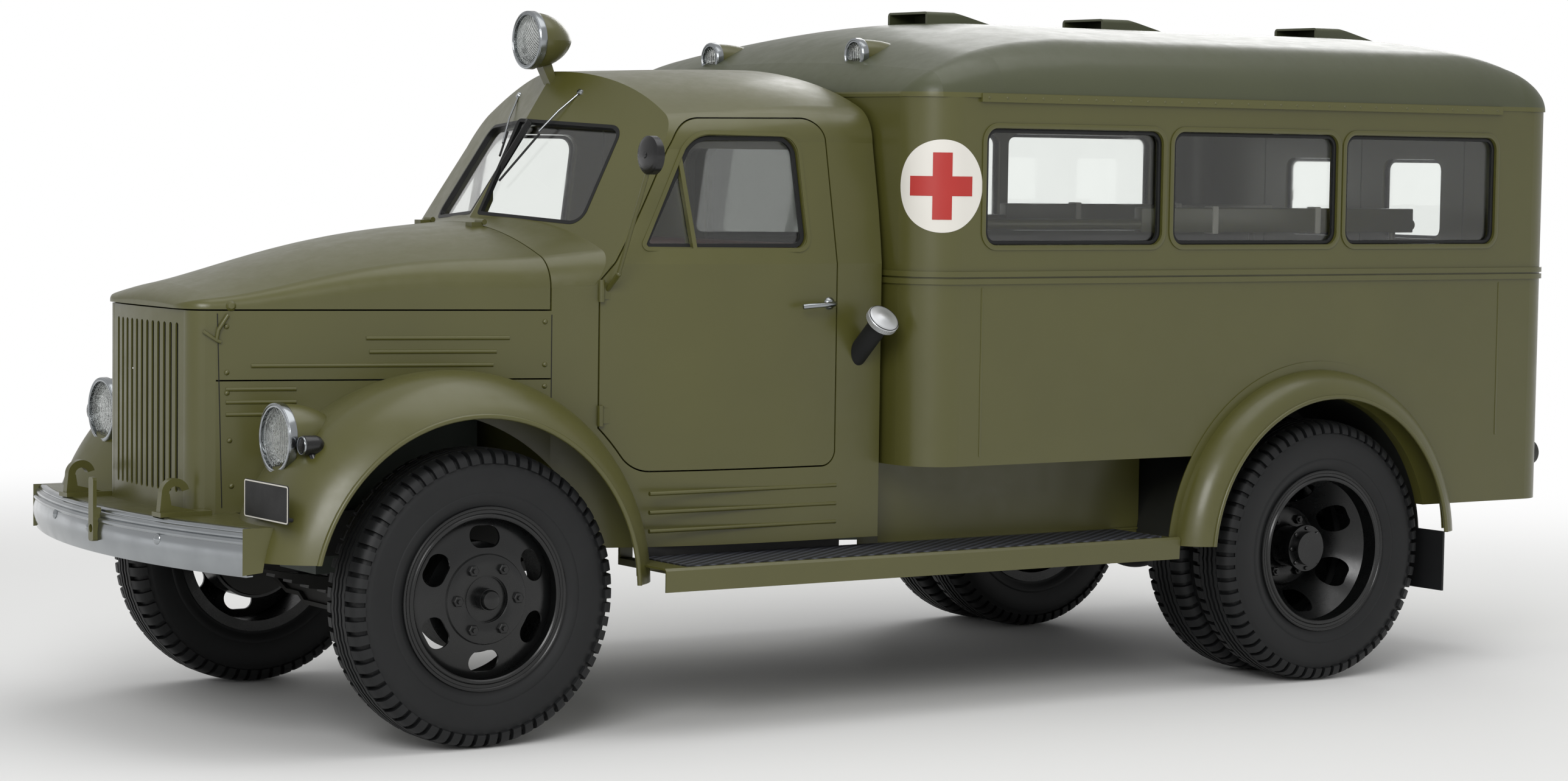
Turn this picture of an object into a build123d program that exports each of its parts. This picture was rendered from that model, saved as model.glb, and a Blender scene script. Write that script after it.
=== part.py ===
"""Military ambulance truck of the early 1950s: bonneted cab, van body, twin rear wheels.

Millimetres, +X forward, +Y to the vehicle's left, +Z up. Everything is drawn with x = 0 at the
front axle, as on a truck's drawing, and moved on export so that the origin is at the middle of
the whole length, on the ground.
"""

from build123d import *

import math
import os

# Driving dimensions
WHEELBASE = 3300.0
FRONT_OVERHANG = 915.0
REAR_OVERHANG = 1230.0
TYRE_RADIUS = 462.0
TYRE_WIDTH = 205.0
FRONT_TRACK = 1589.0
REAR_TRACK = 1650.0
TWIN_SPACING = 250.0
RIM_RADIUS = 256.0

REAR_AXLE_X = -WHEELBASE
REAR_END_X = REAR_AXLE_X - REAR_OVERHANG
AXLE_Z = TYRE_RADIUS
SHEET = 5.0
PANEL_GAP = 5.0
RUNNING_GAP = 0.5

# Frame
RAIL_OUTER_Y = 390.0
RAIL_TOP = 700.0
RAIL_BOTTOM = 560.0
RAIL_FLANGE = 60.0
RAIL_WALL = 6.0
RAIL_REAR_X = -4400.0

# Front end
BUMPER_FRONT_X = 900.0
BUMPER_HALF_WIDTH = 800.0
BUMPER_BOW_RADIUS = 2663.0
BUMPER_BOTTOM = 560.0
BUMPER_TOP = 705.0
BUMPER_DEPTH = 42.0
APRON_TOP = RAIL_TOP + RAIL_WALL
SHELL_FRONT_X = 735.0
SHELL_REAR_X = 650.0
SHELL_REAR_Y = 340.0
HOOD_SEAM_Z = 1335.0
PANEL_SEAM_Z = 1115.0
HOOD_REAR_X = -370.0
HOOD_REAR_Y = 633.0

# Front wheel arch
ARCH_X = 40.0
ARCH_R = 555.0
FENDER_CROWN_Y = 720.0
FENDER_CROWN_R = 694.0
FENDER_LIP_Y = 930.0
FENDER_LIP_R = 566.0
FENDER_FRONT_Z = 600.0
FENDER_REAR_Z = 480.0

# Cab
CAB_REAR_X = -1540.0
CAB_WALL = 45.0
CAB_SILL_Z = 575.0
CAB_FLOOR_Z = 730.0
CAB_FLOOR_THICK = 25.0
CAB_BELT_Z = 1480.0
CAB_ROOF_SPLIT_Z = 1968.0
CAB_CORNER_R = 150.0
SCREEN_BASE = (-423.0, 0.0, 1612.0)
SCREEN_NORMAL = (0.815, 0.2443, 0.5254)
DOOR_FRONT_X = -510.0
DOOR_REAR_X = -1355.0
DOOR_BOTTOM_Z = 815.0
DOOR_TOP_Z = 1957.0
DOOR_CLEAR_R = 740.0
WINDOW_SILL_Z = 1530.0

# Ambulance body
BODY_FRONT_X = -1560.0
BODY_REAR_X = -4450.0
BODY_HALF = 1000.0
BODY_WALL = 40.0
BODY_BOTTOM_Z = 815.0
BODY_SKIRT_Z = 600.0
BODY_EAVES_Z = 2030.0
BODY_FRONT_R = 150.0
BODY_REAR_R = 120.0
BODY_FLOOR_THICK = 40.0
FRONT_SEAM_X = -1797.0
REAR_SEAM_X = -4171.0
ROOF_RISE = 280.0
ROOF_WALL = 30.0
ROOF_OVERHANG = 4.0
REAR_ARCH_X = REAR_AXLE_X + 15.0
REAR_ARCH_R = 550.0
REAR_FENDER_Y = 1115.0
REAR_FENDER_R = 640.0
REAR_FENDER_Z = 510.0
REAR_DOOR_HALF = 560.0
REAR_DOOR_BOTTOM = 870.0
REAR_DOOR_TOP = 1950.0

# Running boards
BOARD_TOP = 540.0
BOARD_OUTER_Y = 1030.0
BOARD_INNER_Y = 710.0
BOARD_FRONT_X = -560.0
BOARD_REAR_X = -2720.0
SKIRT_Y = 690.0

# Steering
KINGPIN_Y = 660.0
KINGPIN_R = 15.0
ARM_LENGTH = 150.0


def block(x, y, z):
    """A box between two corners given as pairs."""
    centre = ((x[0] + x[1]) / 2, (y[0] + y[1]) / 2, (z[0] + z[1]) / 2)
    return Pos(*centre) * Box(abs(x[1] - x[0]), abs(y[1] - y[0]), abs(z[1] - z[0]))


def along_x(face, x0, x1):
    """A sketch in (y, z) extruded from x0 to x1."""
    return Pos(x0, 0, 0) * extrude(Plane.YZ * face, x1 - x0)


def along_y(face, y0, y1):
    """A sketch in (x, z) extruded from y0 to y1."""
    return Pos(0, y1, 0) * extrude(Plane.XZ * face, y1 - y0)


def along_z(face, z0, z1):
    """A sketch in (x, y) extruded from z0 to z1."""
    return Pos(0, 0, z0) * extrude(face, z1 - z0)


def rod(p, q, radius):
    """A round bar from point p to point q."""
    start = Vector(*p)
    reach = Vector(*q) - start
    return Plane(origin=start, z_dir=reach) * Cylinder(
        radius, reach.length, align=(Align.CENTER, Align.CENTER, Align.MIN)
    )


def disc_y(radius, y0, y1, x=0.0, z=0.0):
    """A disc or drum whose axis is parallel to Y."""
    return rod((x, y0, z), (x, y1, z), radius)


def polygon(*points):
    return make_face(Polyline(*points, close=True))


def round_rect(u, v, r):
    """A rounded rectangle between two corners given as pairs."""
    return Pos((u[0] + u[1]) / 2, (v[0] + v[1]) / 2) * RectangleRounded(u[1] - u[0], v[1] - v[0], r)


def ring_sector(r0, r1, start, end):
    """A piece of a flat ring between two radii and two angles in degrees."""

    def at(radius, angle):
        turn = math.radians(angle)
        return (radius * math.cos(turn), radius * math.sin(turn))

    middle = (start + end) / 2
    return make_face(
        [
            Line(at(r0, start), at(r1, start)),
            ThreePointArc(at(r1, start), at(r1, middle), at(r1, end)),
            Line(at(r1, end), at(r0, end)),
            ThreePointArc(at(r0, end), at(r0, middle), at(r0, start)),
        ]
    )


def group(*shapes):
    """Solids of one node that don't touch, or touch face to face."""
    return Compound(children=[solid for shape in shapes for solid in shape.solids()])


def other_side(shape):
    """The mirror image on the vehicle's right."""
    return mirror(shape, about=Plane.XZ)


def both_sides(shape):
    return group(shape, other_side(shape))


def half_space(origin, normal):
    """A large block on the side of a plane that its normal points to."""
    return Plane(origin=origin, z_dir=normal) * Box(
        6000, 6000, 3000, align=(Align.CENTER, Align.CENTER, Align.MIN)
    )


def hoop(x, half_width, foot, top, crown_r, corner_r, belt=None):
    """A bow-topped section at x: two sides, two corner arcs and a crown arc.

    A belt, given as (half width, z), lets the side lean in above it.
    """
    reach = crown_r - corner_r
    corner_y = half_width - corner_r
    crown_z = top - crown_r
    corner_z = crown_z + math.sqrt(reach**2 - corner_y**2)
    turn = math.atan2(corner_z - crown_z, corner_y)
    crown_end = (crown_r * math.cos(turn), crown_z + crown_r * math.sin(turn))
    middle = (
        corner_y + corner_r * math.cos(turn / 2),
        corner_z + corner_r * math.sin(turn / 2),
    )
    side = [(half_width, corner_z), (half_width, foot)]
    if belt:
        side = [(half_width, corner_z), belt, (belt[0], foot)]
    left = [Line(p, q) for p, q in zip(side, side[1:])]
    right = [Line((-q[0], q[1]), (-p[0], p[1])) for p, q in zip(side, side[1:])][::-1]
    edges = (
        right
        + [
            ThreePointArc(
                (-half_width, corner_z), (-middle[0], middle[1]), (-crown_end[0], crown_end[1])
            ),
            ThreePointArc((-crown_end[0], crown_end[1]), (0, top), crown_end),
            ThreePointArc(crown_end, middle, (half_width, corner_z)),
        ]
        + left
        + [Line(side[-1], (-side[-1][0], foot))]
    )
    return Pos(x, 0, 0) * (Plane.YZ * make_face(edges))


def side_y(x):
    """Half width of the engine bay's side panels, which run straight to the cab."""
    share = (SHELL_REAR_X - x) / (SHELL_REAR_X - HOOD_REAR_X)
    return SHELL_REAR_Y + share * (HOOD_REAR_Y - SHELL_REAR_Y)


# Chassis

# Crossmembers between the rails: x of the middle, z of the underside
CROSSMEMBERS = ((620, 566), (-900, 612), (-1700, 612), (-2500, 612), (-3950, 612), (-4359, 566))
CROSSMEMBER_WIDTH = 70.0
SPRING_WIDTH = 60.0
LEAF = 10.0
FRONT_SPRING_Y = 385.0
REAR_SPRING_Y = 462.0
FRONT_PAD_Z = 418.0
REAR_PAD_Z = 516.0
FRONT_SPRING_ENDS = (540.0, -540.0)
REAR_SPRING_ENDS = (-2700.0, -3900.0)
# Leaves, rise of the ends above the pack's top at the middle
FRONT_SPRING = (6, 60.0)
REAR_SPRING = (7, 70.0)
LEAF_STEP = 0.11
HANGER_LENGTH = 70.0
HOOK_SHANK = 40.0


def spring_end_z(pad_z, spring):
    """Height of the top leaf's end."""
    leaves, rise = spring
    return pad_z + leaves * LEAF + rise


def channel_rail():
    """One side rail, a channel open to the middle of the truck."""
    inner = RAIL_OUTER_Y - RAIL_FLANGE
    web = RAIL_OUTER_Y - RAIL_WALL
    profile = polygon(
        (inner, RAIL_BOTTOM),
        (RAIL_OUTER_Y, RAIL_BOTTOM),
        (RAIL_OUTER_Y, RAIL_TOP),
        (inner, RAIL_TOP),
        (inner, RAIL_TOP - RAIL_WALL),
        (web, RAIL_TOP - RAIL_WALL),
        (web, RAIL_BOTTOM + RAIL_WALL),
        (inner, RAIL_BOTTOM + RAIL_WALL),
    )
    return along_x(profile, RAIL_REAR_X, BUMPER_FRONT_X)


def spring_hangers():
    """Brackets on one rail that the springs' ends bear on."""
    hangers = None
    front_top = spring_end_z(FRONT_PAD_Z, FRONT_SPRING)
    for x in FRONT_SPRING_ENDS:
        hanger = block(
            (x - HANGER_LENGTH / 2, x + HANGER_LENGTH / 2),
            (RAIL_OUTER_Y - RAIL_FLANGE, RAIL_OUTER_Y),
            (front_top, RAIL_BOTTOM),
        )
        hangers = hanger if hangers is None else hangers + hanger
    rear_top = spring_end_z(REAR_PAD_Z, REAR_SPRING)
    for x in REAR_SPRING_ENDS:
        hangers += block(
            (x - HANGER_LENGTH / 2, x + HANGER_LENGTH / 2),
            (RAIL_OUTER_Y, REAR_SPRING_Y + SPRING_WIDTH / 2),
            (rear_top, RAIL_TOP - RAIL_WALL),
        )
    return hangers


def rear_hook():
    """Tow hook on the last crossmember: a shank and an open ring."""
    x = RAIL_REAR_X
    eye_r = (x - REAR_END_X - HOOK_SHANK) / 2
    eye_x = REAR_END_X + eye_r
    z = (RAIL_TOP + RAIL_BOTTOM) / 2
    shank = rod((x, 0, z), (eye_x + eye_r - 6, 0, z), 16)
    ring = ring_sector(eye_r - 22, eye_r, -120, 200)
    eye = along_y(Pos(eye_x, z) * ring, -16, 16)
    plate = block((x, x - 10), (-70, 70), (z - 60, z + 60))
    return plate + shank + eye


def frame_rails(bumper_space):
    """Both side rails with their spring hangers."""
    return both_sides(channel_rail() + spring_hangers() - bumper_space)


def crossmembers(bumper_space):
    """Channels between the rails, open below, and the closing plate with the tow hook."""
    members = []
    inner = RAIL_OUTER_Y - RAIL_WALL
    for x, underside in CROSSMEMBERS:
        half = CROSSMEMBER_WIDTH / 2
        outside = block((x - half, x + half), (-inner, inner), (underside, RAIL_TOP - RAIL_WALL))
        hollow = block(
            (x - half + RAIL_WALL, x + half - RAIL_WALL),
            (-inner, inner),
            (underside, RAIL_TOP - 2 * RAIL_WALL),
        )
        members.append(outside - hollow - bumper_space)
    height = (RAIL_BOTTOM + RAIL_WALL, RAIL_TOP - RAIL_WALL)
    closing = block((RAIL_REAR_X, RAIL_REAR_X + RAIL_WALL), (-inner, inner), height)
    return group(*members, closing + rear_hook())


def leaf_pack(ends, seat_z, spring, y):
    """Leaves of shrinking length, the longest on top, each lying on the one below."""
    leaves, rise = spring
    middle = (ends[0] + ends[1]) / 2
    half = (ends[0] - ends[1]) / 2
    pack_top = seat_z + leaves * LEAF
    radius = (half**2 + rise**2) / (2 * rise)
    pack = None
    for n in range(leaves):
        turn = math.degrees(math.asin(half * (1 - LEAF_STEP * n) / radius))
        sector = ring_sector(radius + n * LEAF, radius + (n + 1) * LEAF, -90 - turn, -90 + turn)
        leaf = along_y(
            Pos(middle, pack_top + radius) * sector, y - SPRING_WIDTH / 2, y + SPRING_WIDTH / 2
        )
        pack = leaf if pack is None else pack + leaf
    return pack


def leaf_springs():
    front = leaf_pack(FRONT_SPRING_ENDS, FRONT_PAD_Z, FRONT_SPRING, FRONT_SPRING_Y)
    rear = leaf_pack(REAR_SPRING_ENDS, REAR_PAD_Z, REAR_SPRING, REAR_SPRING_Y)
    return both_sides(group(front, rear))


BOSS_R = 36.0
BOSS_Z = (414.0, 510.0)
BEAM_HALF = 30.0


def front_axle():
    """Dropped beam with a spring pad and a kingpin eye at each end."""
    pad_in = FRONT_SPRING_Y - SPRING_WIDTH / 2 - 15
    pad_out = FRONT_SPRING_Y + SPRING_WIDTH / 2 + 15
    outline = polygon(
        (0, 318),
        (pad_in - 40, 318),
        (pad_in, 342),
        (pad_out, 342),
        (KINGPIN_Y - BOSS_R - 10, BOSS_Z[0]),
        (KINGPIN_Y, BOSS_Z[0]),
        (KINGPIN_Y, BOSS_Z[1]),
        (KINGPIN_Y - BOSS_R - 20, BOSS_Z[1] - 6),
        (pad_out + 20, FRONT_PAD_Z),
        (pad_in, FRONT_PAD_Z),
        (pad_in - 40, 392),
        (0, 392),
    )
    half = along_x(outline, -BEAM_HALF, BEAM_HALF)
    waist = along_x(offset(outline, -14), BEAM_HALF - 16, BEAM_HALF + 1)
    half -= waist
    half -= mirror(waist, about=Plane.YZ)
    half += rod((0, KINGPIN_Y, BOSS_Z[0]), (0, KINGPIN_Y, BOSS_Z[1]), BOSS_R)
    bore = rod((0, KINGPIN_Y, 300), (0, KINGPIN_Y, 600), KINGPIN_R + RUNNING_GAP)
    half -= bore
    return half + other_side(half)


AXLE_TUBE_R = 46.0
REAR_SPINDLE_R = 34.0
REAR_DRUM_INNER_Y = 615.0


def rear_axle():
    """Banjo housing with tapering tubes, spring pads and the pinion nose."""
    x, z = REAR_AXLE_X, AXLE_Z
    casing = Pos(x, 0, z) * Sphere(165)
    casing = casing & block((x - 165, x + 165), (-105, 105), (z - 165, z + 165))
    nose = Pos(x, 0, z) * rod((0, 0, 0), (240, 0, 0), 75)
    taper = Cone(92, AXLE_TUBE_R, 300, align=(Align.CENTER, Align.CENTER, Align.MIN))
    tube = Pos(x, 60, z) * Rot(-90, 0, 0) * taper
    tube += disc_y(AXLE_TUBE_R, 340, REAR_DRUM_INNER_Y - 12, x, z)
    tube += disc_y(REAR_SPINDLE_R, REAR_DRUM_INNER_Y - 20, REAR_TRACK / 2 + 20, x, z)
    tube += disc_y(DRUM_R + 6, REAR_DRUM_INNER_Y - 20, REAR_DRUM_INNER_Y - 12, x, z)
    tube += block(
        (x - 45, x + 45),
        (REAR_SPRING_Y - SPRING_WIDTH / 2 - 4, REAR_SPRING_Y + SPRING_WIDTH / 2 + 4),
        (z, REAR_PAD_Z),
    )
    return casing + nose + tube + other_side(tube)


ENGINE_X = (-330.0, 480.0)
ENGINE_HALF = 230.0
ENGINE_Z = (625.0, 1230.0)
GEARBOX_REAR_X = -840.0
GEARBOX_HALF = 130.0
GEARBOX_Z = (440.0, 640.0)
SUMP_Z = 470.0
SHAFT_R = 36.0
MOUNT_Z = (640.0, 690.0)


def driveline():
    """Engine as one plain block, its gearbox, and the propeller shaft to the rear axle."""
    engine = block(ENGINE_X, (-ENGINE_HALF, ENGINE_HALF), ENGINE_Z)
    engine += block((-360, 200), (-GEARBOX_HALF, GEARBOX_HALF), (SUMP_Z, ENGINE_Z[0] + 20))
    inner = RAIL_OUTER_Y - RAIL_WALL
    engine += block((60, 140), (-inner, inner), MOUNT_Z)
    gearbox = block((GEARBOX_REAR_X, -340), (-GEARBOX_HALF, GEARBOX_HALF), GEARBOX_Z)
    start = (GEARBOX_REAR_X, 0, 540)
    end = (REAR_AXLE_X + 240, 0, AXLE_Z)
    shaft = rod(start, end, SHAFT_R)
    shaft -= block((end[0] - 40, end[0]), (-80, 80), (end[2] - 80, end[2] + 80))
    return engine + gearbox + shaft


def exhaust():
    """Down pipe, silencer and tail pipe under the right side."""
    y = -(RAIL_OUTER_Y + 110)
    z = 530.0
    silencer = rod((-1600, y, z), (-2050, y, z), 60)
    pipe_r = 24.0
    path = [(-330, -245, z), (-600, -245, z), (-760, y, z), (-1600, y, z)]
    front = None
    for p, q in zip(path, path[1:]):
        leg = rod(p, q, pipe_r) + Pos(*q) * Sphere(pipe_r)
        front = leg if front is None else front + leg
    front += rod((-330, -245, z), (-300, -245, ENGINE_Z[0]), pipe_r) + Pos(*path[0]) * Sphere(pipe_r)
    tail = rod((-2050, y, z), (-2600, y, z), pipe_r)
    straps = block((-1700, -1670), (y, -RAIL_OUTER_Y), (z, z + 80))
    straps += block((-1960, -1930), (y, -RAIL_OUTER_Y), (z, z + 80))
    pipe = front + silencer + tail + straps
    return pipe - block(ENGINE_X, (-ENGINE_HALF - 40, ENGINE_HALF), ENGINE_Z)


# Bumper, apron and hooks


def bumper_axis():
    return Axis((BUMPER_FRONT_X - BUMPER_BOW_RADIUS, 0, 0), (0, 0, 1))


def bowed(face):
    """A section in (x, z) swung round the bumper's bow, across its whole width."""
    swing = 2 * math.degrees(math.asin(BUMPER_HALF_WIDTH / BUMPER_BOW_RADIUS))
    shape = revolve(Plane.XZ * face, bumper_axis(), revolution_arc=swing)
    return shape.rotate(bumper_axis(), -swing / 2)


def bumper_outline():
    """Front outline of the bumper's section, from the bottom lip to the top flange."""
    x, low, top = BUMPER_FRONT_X, BUMPER_BOTTOM, BUMPER_TOP
    back = x - BUMPER_DEPTH
    return [
        Line((back, low), (x - 14, low)),
        ThreePointArc((x - 14, low), (x - 2, low + 40), (x - 4, top - 48)),
        ThreePointArc((x - 4, top - 48), (x - 2, top - 36), (x - 10, top - 30)),
        ThreePointArc((x - 10, top - 30), (x - 9, top - 18), (x - 19, top - 12)),
        ThreePointArc((x - 19, top - 12), (x - 22, top - 3), (x - 32, top)),
        Line((x - 32, top), (back, top)),
    ]


def bumper():
    """Pressed channel with a curved face and two ridges along its top."""
    x, low, top = BUMPER_FRONT_X, BUMPER_BOTTOM, BUMPER_TOP
    back = x - BUMPER_DEPTH
    wall = 4.0
    inner = [
        Line((back, top), (back, top - wall)),
        Line((back, top - wall), (x - 34, top - wall)),
        Line((x - 34, top - wall), (x - 3 - 2 * wall, top - 52)),
        ThreePointArc(
            (x - 3 - 2 * wall, top - 52), (x - 1 - wall, low + 42), (x - 14 - wall, low + wall)
        ),
        Line((x - 14 - wall, low + wall), (back, low + wall)),
        Line((back, low + wall), (back, low)),
    ]
    return bowed(make_face(bumper_outline() + inner))


def bumper_fill():
    """The bumper's section closed at its back."""
    back = BUMPER_FRONT_X - BUMPER_DEPTH
    return bowed(make_face(bumper_outline() + [Line((back, BUMPER_TOP), (back, BUMPER_BOTTOM))]))


def bumper_space():
    """Everything ahead of the bumper's rear edge, which the rails stop short of."""
    back = BUMPER_FRONT_X - BUMPER_DEPTH
    face = polygon((back, 300), (back + 300, 300), (back + 300, 1000), (back, 1000))
    return bowed(face)


HOOK_POST_X = 838.0
HOOK_BASE = (685.0, 856.0)
HOOK_BASE_Z = 14.0
HOOK_RING_R = 46.0
HOOK_BAR = 20.0


def front_hook():
    """Cast hook on the left rail's end, curling to the rear."""
    y = RAIL_OUTER_Y - RAIL_FLANGE / 2
    seat = APRON_TOP
    base = block(HOOK_BASE, (y - 32, y + 32), (seat, seat + HOOK_BASE_Z))
    web = polygon(
        (HOOK_POST_X - 110, seat + HOOK_BASE_Z),
        (HOOK_POST_X + 12, seat + HOOK_BASE_Z),
        (HOOK_POST_X + 6, seat + 70),
        (HOOK_POST_X - HOOK_BAR, seat + 70),
        (HOOK_POST_X - HOOK_BAR - 6, seat + 34),
        (HOOK_POST_X - 60, seat + 26),
    )
    ring_x = HOOK_POST_X + 6 - HOOK_RING_R
    ring = Pos(ring_x, seat + 70) * ring_sector(HOOK_RING_R - HOOK_BAR - 4, HOOK_RING_R, 0, 165)
    post = along_y(web, y - 14, y + 14) + along_y(ring, y - 14, y + 14)
    return base + post


def crank_bracket():
    """Strap on the bumper that steadies the starting handle."""
    x = BUMPER_FRONT_X
    strap = round_rect((-18, 18), (600, 800), 10)
    plate = along_x(strap, x - 30, FRONT_OVERHANG) - bumper_fill()
    plate -= block((0, FRONT_OVERHANG - 12), (-40, 40), (BUMPER_TOP, 900))
    plate -= block((0, x - 12), (-40, 40), (0, 900))
    hole = rod((x - 5, 0, 640), (FRONT_OVERHANG + 5, 0, 640), 13)
    return plate - hole


def tow_hooks():
    hook = front_hook()
    return group(hook, other_side(hook), crank_bracket())


APRON_HALF = 800.0
APRON_SIDE_X = 777.0


def front_apron(space, fill):
    """Tray over the frame horns between bumper and fenders, with turned-down side plates."""
    tray = polygon(
        (SHELL_REAR_X - 60, -APRON_HALF),
        (SHELL_REAR_X - 60, APRON_HALF),
        (APRON_SIDE_X, APRON_HALF),
        (BUMPER_FRONT_X, 500),
        (BUMPER_FRONT_X, -500),
        (APRON_SIDE_X, -APRON_HALF),
    )
    apron = along_z(tray, RAIL_TOP, APRON_TOP)
    side = polygon(
        (SHELL_REAR_X - 60, RAIL_TOP),
        (APRON_SIDE_X, RAIL_TOP),
        (APRON_SIDE_X, BUMPER_BOTTOM + 6),
        (SHELL_REAR_X - 20, BUMPER_BOTTOM + 20),
        (SHELL_REAR_X - 60, FENDER_FRONT_Z),
    )
    wall = along_y(side, APRON_HALF - SHEET, APRON_HALF)
    return (apron + wall + other_side(wall)) - space - fill - other_side(fill)


# Engine bay

SLOTS = 12
SLOT_PITCH = 40.0
SLOT_WIDTH = 17.0
SLOT_Z = (765.0, 1290.0)
# Half outline of the radiator shell in plan: corner bend, then the side
SHELL_CORNER = ((722.0, 262.0), (711.0, 303.0), (680.0, 328.0))


def shell_plan(inset):
    """Closed plan of the radiator shell, moved in by a wall thickness."""
    (ax, ay), (bx, by), (cx, cy) = SHELL_CORNER
    front = SHELL_FRONT_X - inset
    ax, ay = ax - inset, ay - inset * 0.4
    bx, by = bx - inset * 0.7, by - inset * 0.7
    cx, cy = cx - inset * 0.4, cy - inset
    rear_y = SHELL_REAR_Y - inset
    return make_face(
        [
            ThreePointArc((ax, -ay), (front, 0), (ax, ay)),
            ThreePointArc((ax, ay), (bx, by), (cx, cy)),
            Line((cx, cy), (SHELL_REAR_X, rear_y)),
            Line((SHELL_REAR_X, rear_y), (SHELL_REAR_X, -rear_y)),
            Line((SHELL_REAR_X, -rear_y), (cx, -cy)),
            ThreePointArc((cx, -cy), (bx, -by), (ax, -ay)),
        ]
    )


def radiator_shell():
    """Pressed shell round the radiator, with a row of upright slots in its face."""
    top = HOOD_SEAM_Z - PANEL_GAP
    shell = along_z(shell_plan(0), APRON_TOP, top) - along_z(shell_plan(SHEET), APRON_TOP, top)
    for n in range(SLOTS):
        y = (n - (SLOTS - 1) / 2) * SLOT_PITCH
        slot = round_rect((y - SLOT_WIDTH / 2, y + SLOT_WIDTH / 2), SLOT_Z, SLOT_WIDTH / 2 - 0.1)
        shell -= along_x(slot, SHELL_FRONT_X - 40, SHELL_FRONT_X + 20)
    return shell


CORE_X = (600.0, 655.0)
CORE_HALF = 245.0


def radiator_core():
    core = block(CORE_X, (-CORE_HALF, CORE_HALF), (APRON_TOP, HOOD_SEAM_Z - 40))
    return core


# Ribs pressed in the side panels: z, front x, rear x
UPPER_RIBS = ((1245.0, 200.0, -240.0), (1202.0, 190.0, -200.0), (1160.0, 545.0, -190.0))
LOWER_RIBS = ((1088.0, 620.0, 410.0), (1048.0, 620.0, 410.0), (1010.0, 620.0, 430.0))
RIB_HALF = 7.0


def bay_plan(inset):
    """Plan of the engine bay inside the side panels."""
    front, rear = SHELL_REAR_X, HOOD_REAR_X
    return polygon(
        (front, side_y(front) - inset),
        (rear, side_y(rear) - inset),
        (rear, inset - side_y(rear)),
        (front, inset - side_y(front)),
    )


def panel_rib(z, x0, x1):
    """A half-round rib along the left side panel."""
    return rod((x0, side_y(x0) - 2, z), (x1, side_y(x1) - 2, z), RIB_HALF)


def hood_side_panels(arch):
    """Upper and lower side panels of the engine bay."""
    inside = along_z(bay_plan(SHEET), 600, 1500)
    panels = []
    tables = (
        (PANEL_SEAM_Z + PANEL_GAP / 2, HOOD_SEAM_Z - PANEL_GAP, UPPER_RIBS),
        (APRON_TOP, PANEL_SEAM_Z - PANEL_GAP / 2, LOWER_RIBS),
    )
    for low, high, ribs in tables:
        panel = along_z(bay_plan(0), low, high)
        for rib in ribs:
            bar = panel_rib(*rib)
            panel += bar + other_side(bar)
        panel -= inside
        panel -= arch
        panels.append(panel)
    return group(*panels)


# Sections of the hood: x, half width, top, crown radius, corner radius
HOOD_NOSE = (
    (740.0, 225.0, 1350.0, 4000.0, 8.0),
    (722.0, 296.0, 1377.0, 2000.0, 18.0),
    (660.0, 338.0, 1404.0, 1400.0, 30.0),
)
HOOD_BODY = (
    (660.0, 338.0, 1404.0, 1400.0, 30.0),
    (470.0, 392.0, 1450.0, 1300.0, 48.0),
    (300.0, 440.0, 1495.0, 1400.0, 65.0),
    (50.0, 512.0, 1550.0, 1500.0, 85.0),
    (HOOD_REAR_X + PANEL_GAP, HOOD_REAR_Y - 1.5, 1599.0, 1670.0, 105.0),
)


def hood_form(inset, foot):
    """Outer or inner form of the hood."""
    forms = []
    for table in (HOOD_NOSE, HOOD_BODY):
        sections = [
            hoop(
                x - (inset if n == 0 and table is HOOD_NOSE else 0),
                half - inset,
                foot,
                top - inset,
                crown - inset,
                corner - inset,
            )
            for n, (x, half, top, crown, corner) in enumerate(table)
        ]
        forms.append(loft(sections))
    return forms[0] + forms[1]


HINGE_R = 9.0
HINGE_Y = 150.0
HINGE_LENGTH = 50.0
HINGE_STRAP = 45.0
HOOD_HINGE_X = HOOD_REAR_X + PANEL_GAP / 2
HOOD_HINGE_Z = 1601.0


def hood():
    """Pressed bonnet top, open below, with two hinge barrels at its rear edge."""
    shell = hood_form(0, HOOD_SEAM_Z)
    shell -= hood_form(SHEET, HOOD_SEAM_Z - 40)
    shell -= block((-500, HOOD_REAR_X + PANEL_GAP), (-900, 900), (1200, 1700))
    x, z = HOOD_HINGE_X, HOOD_HINGE_Z
    hinge = disc_y(HINGE_R, HINGE_Y, HINGE_Y + HINGE_LENGTH, x, z)
    strap = block((x + 3, x + HINGE_STRAP), (HINGE_Y + 4, HINGE_Y + HINGE_LENGTH - 4), (z - 35, z - 1))
    hinge += strap - hood_form(SHEET, HOOD_SEAM_Z - 40)
    return shell + hinge + other_side(hinge)


def hinge_notch():
    """Room for the bonnet's hinge barrels in the cowl."""
    notch = disc_y(
        HINGE_R + 2, HINGE_Y - 3, HINGE_Y + HINGE_LENGTH + 3, HOOD_HINGE_X, HOOD_HINGE_Z
    )
    return notch + other_side(notch)


# Front fenders


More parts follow.
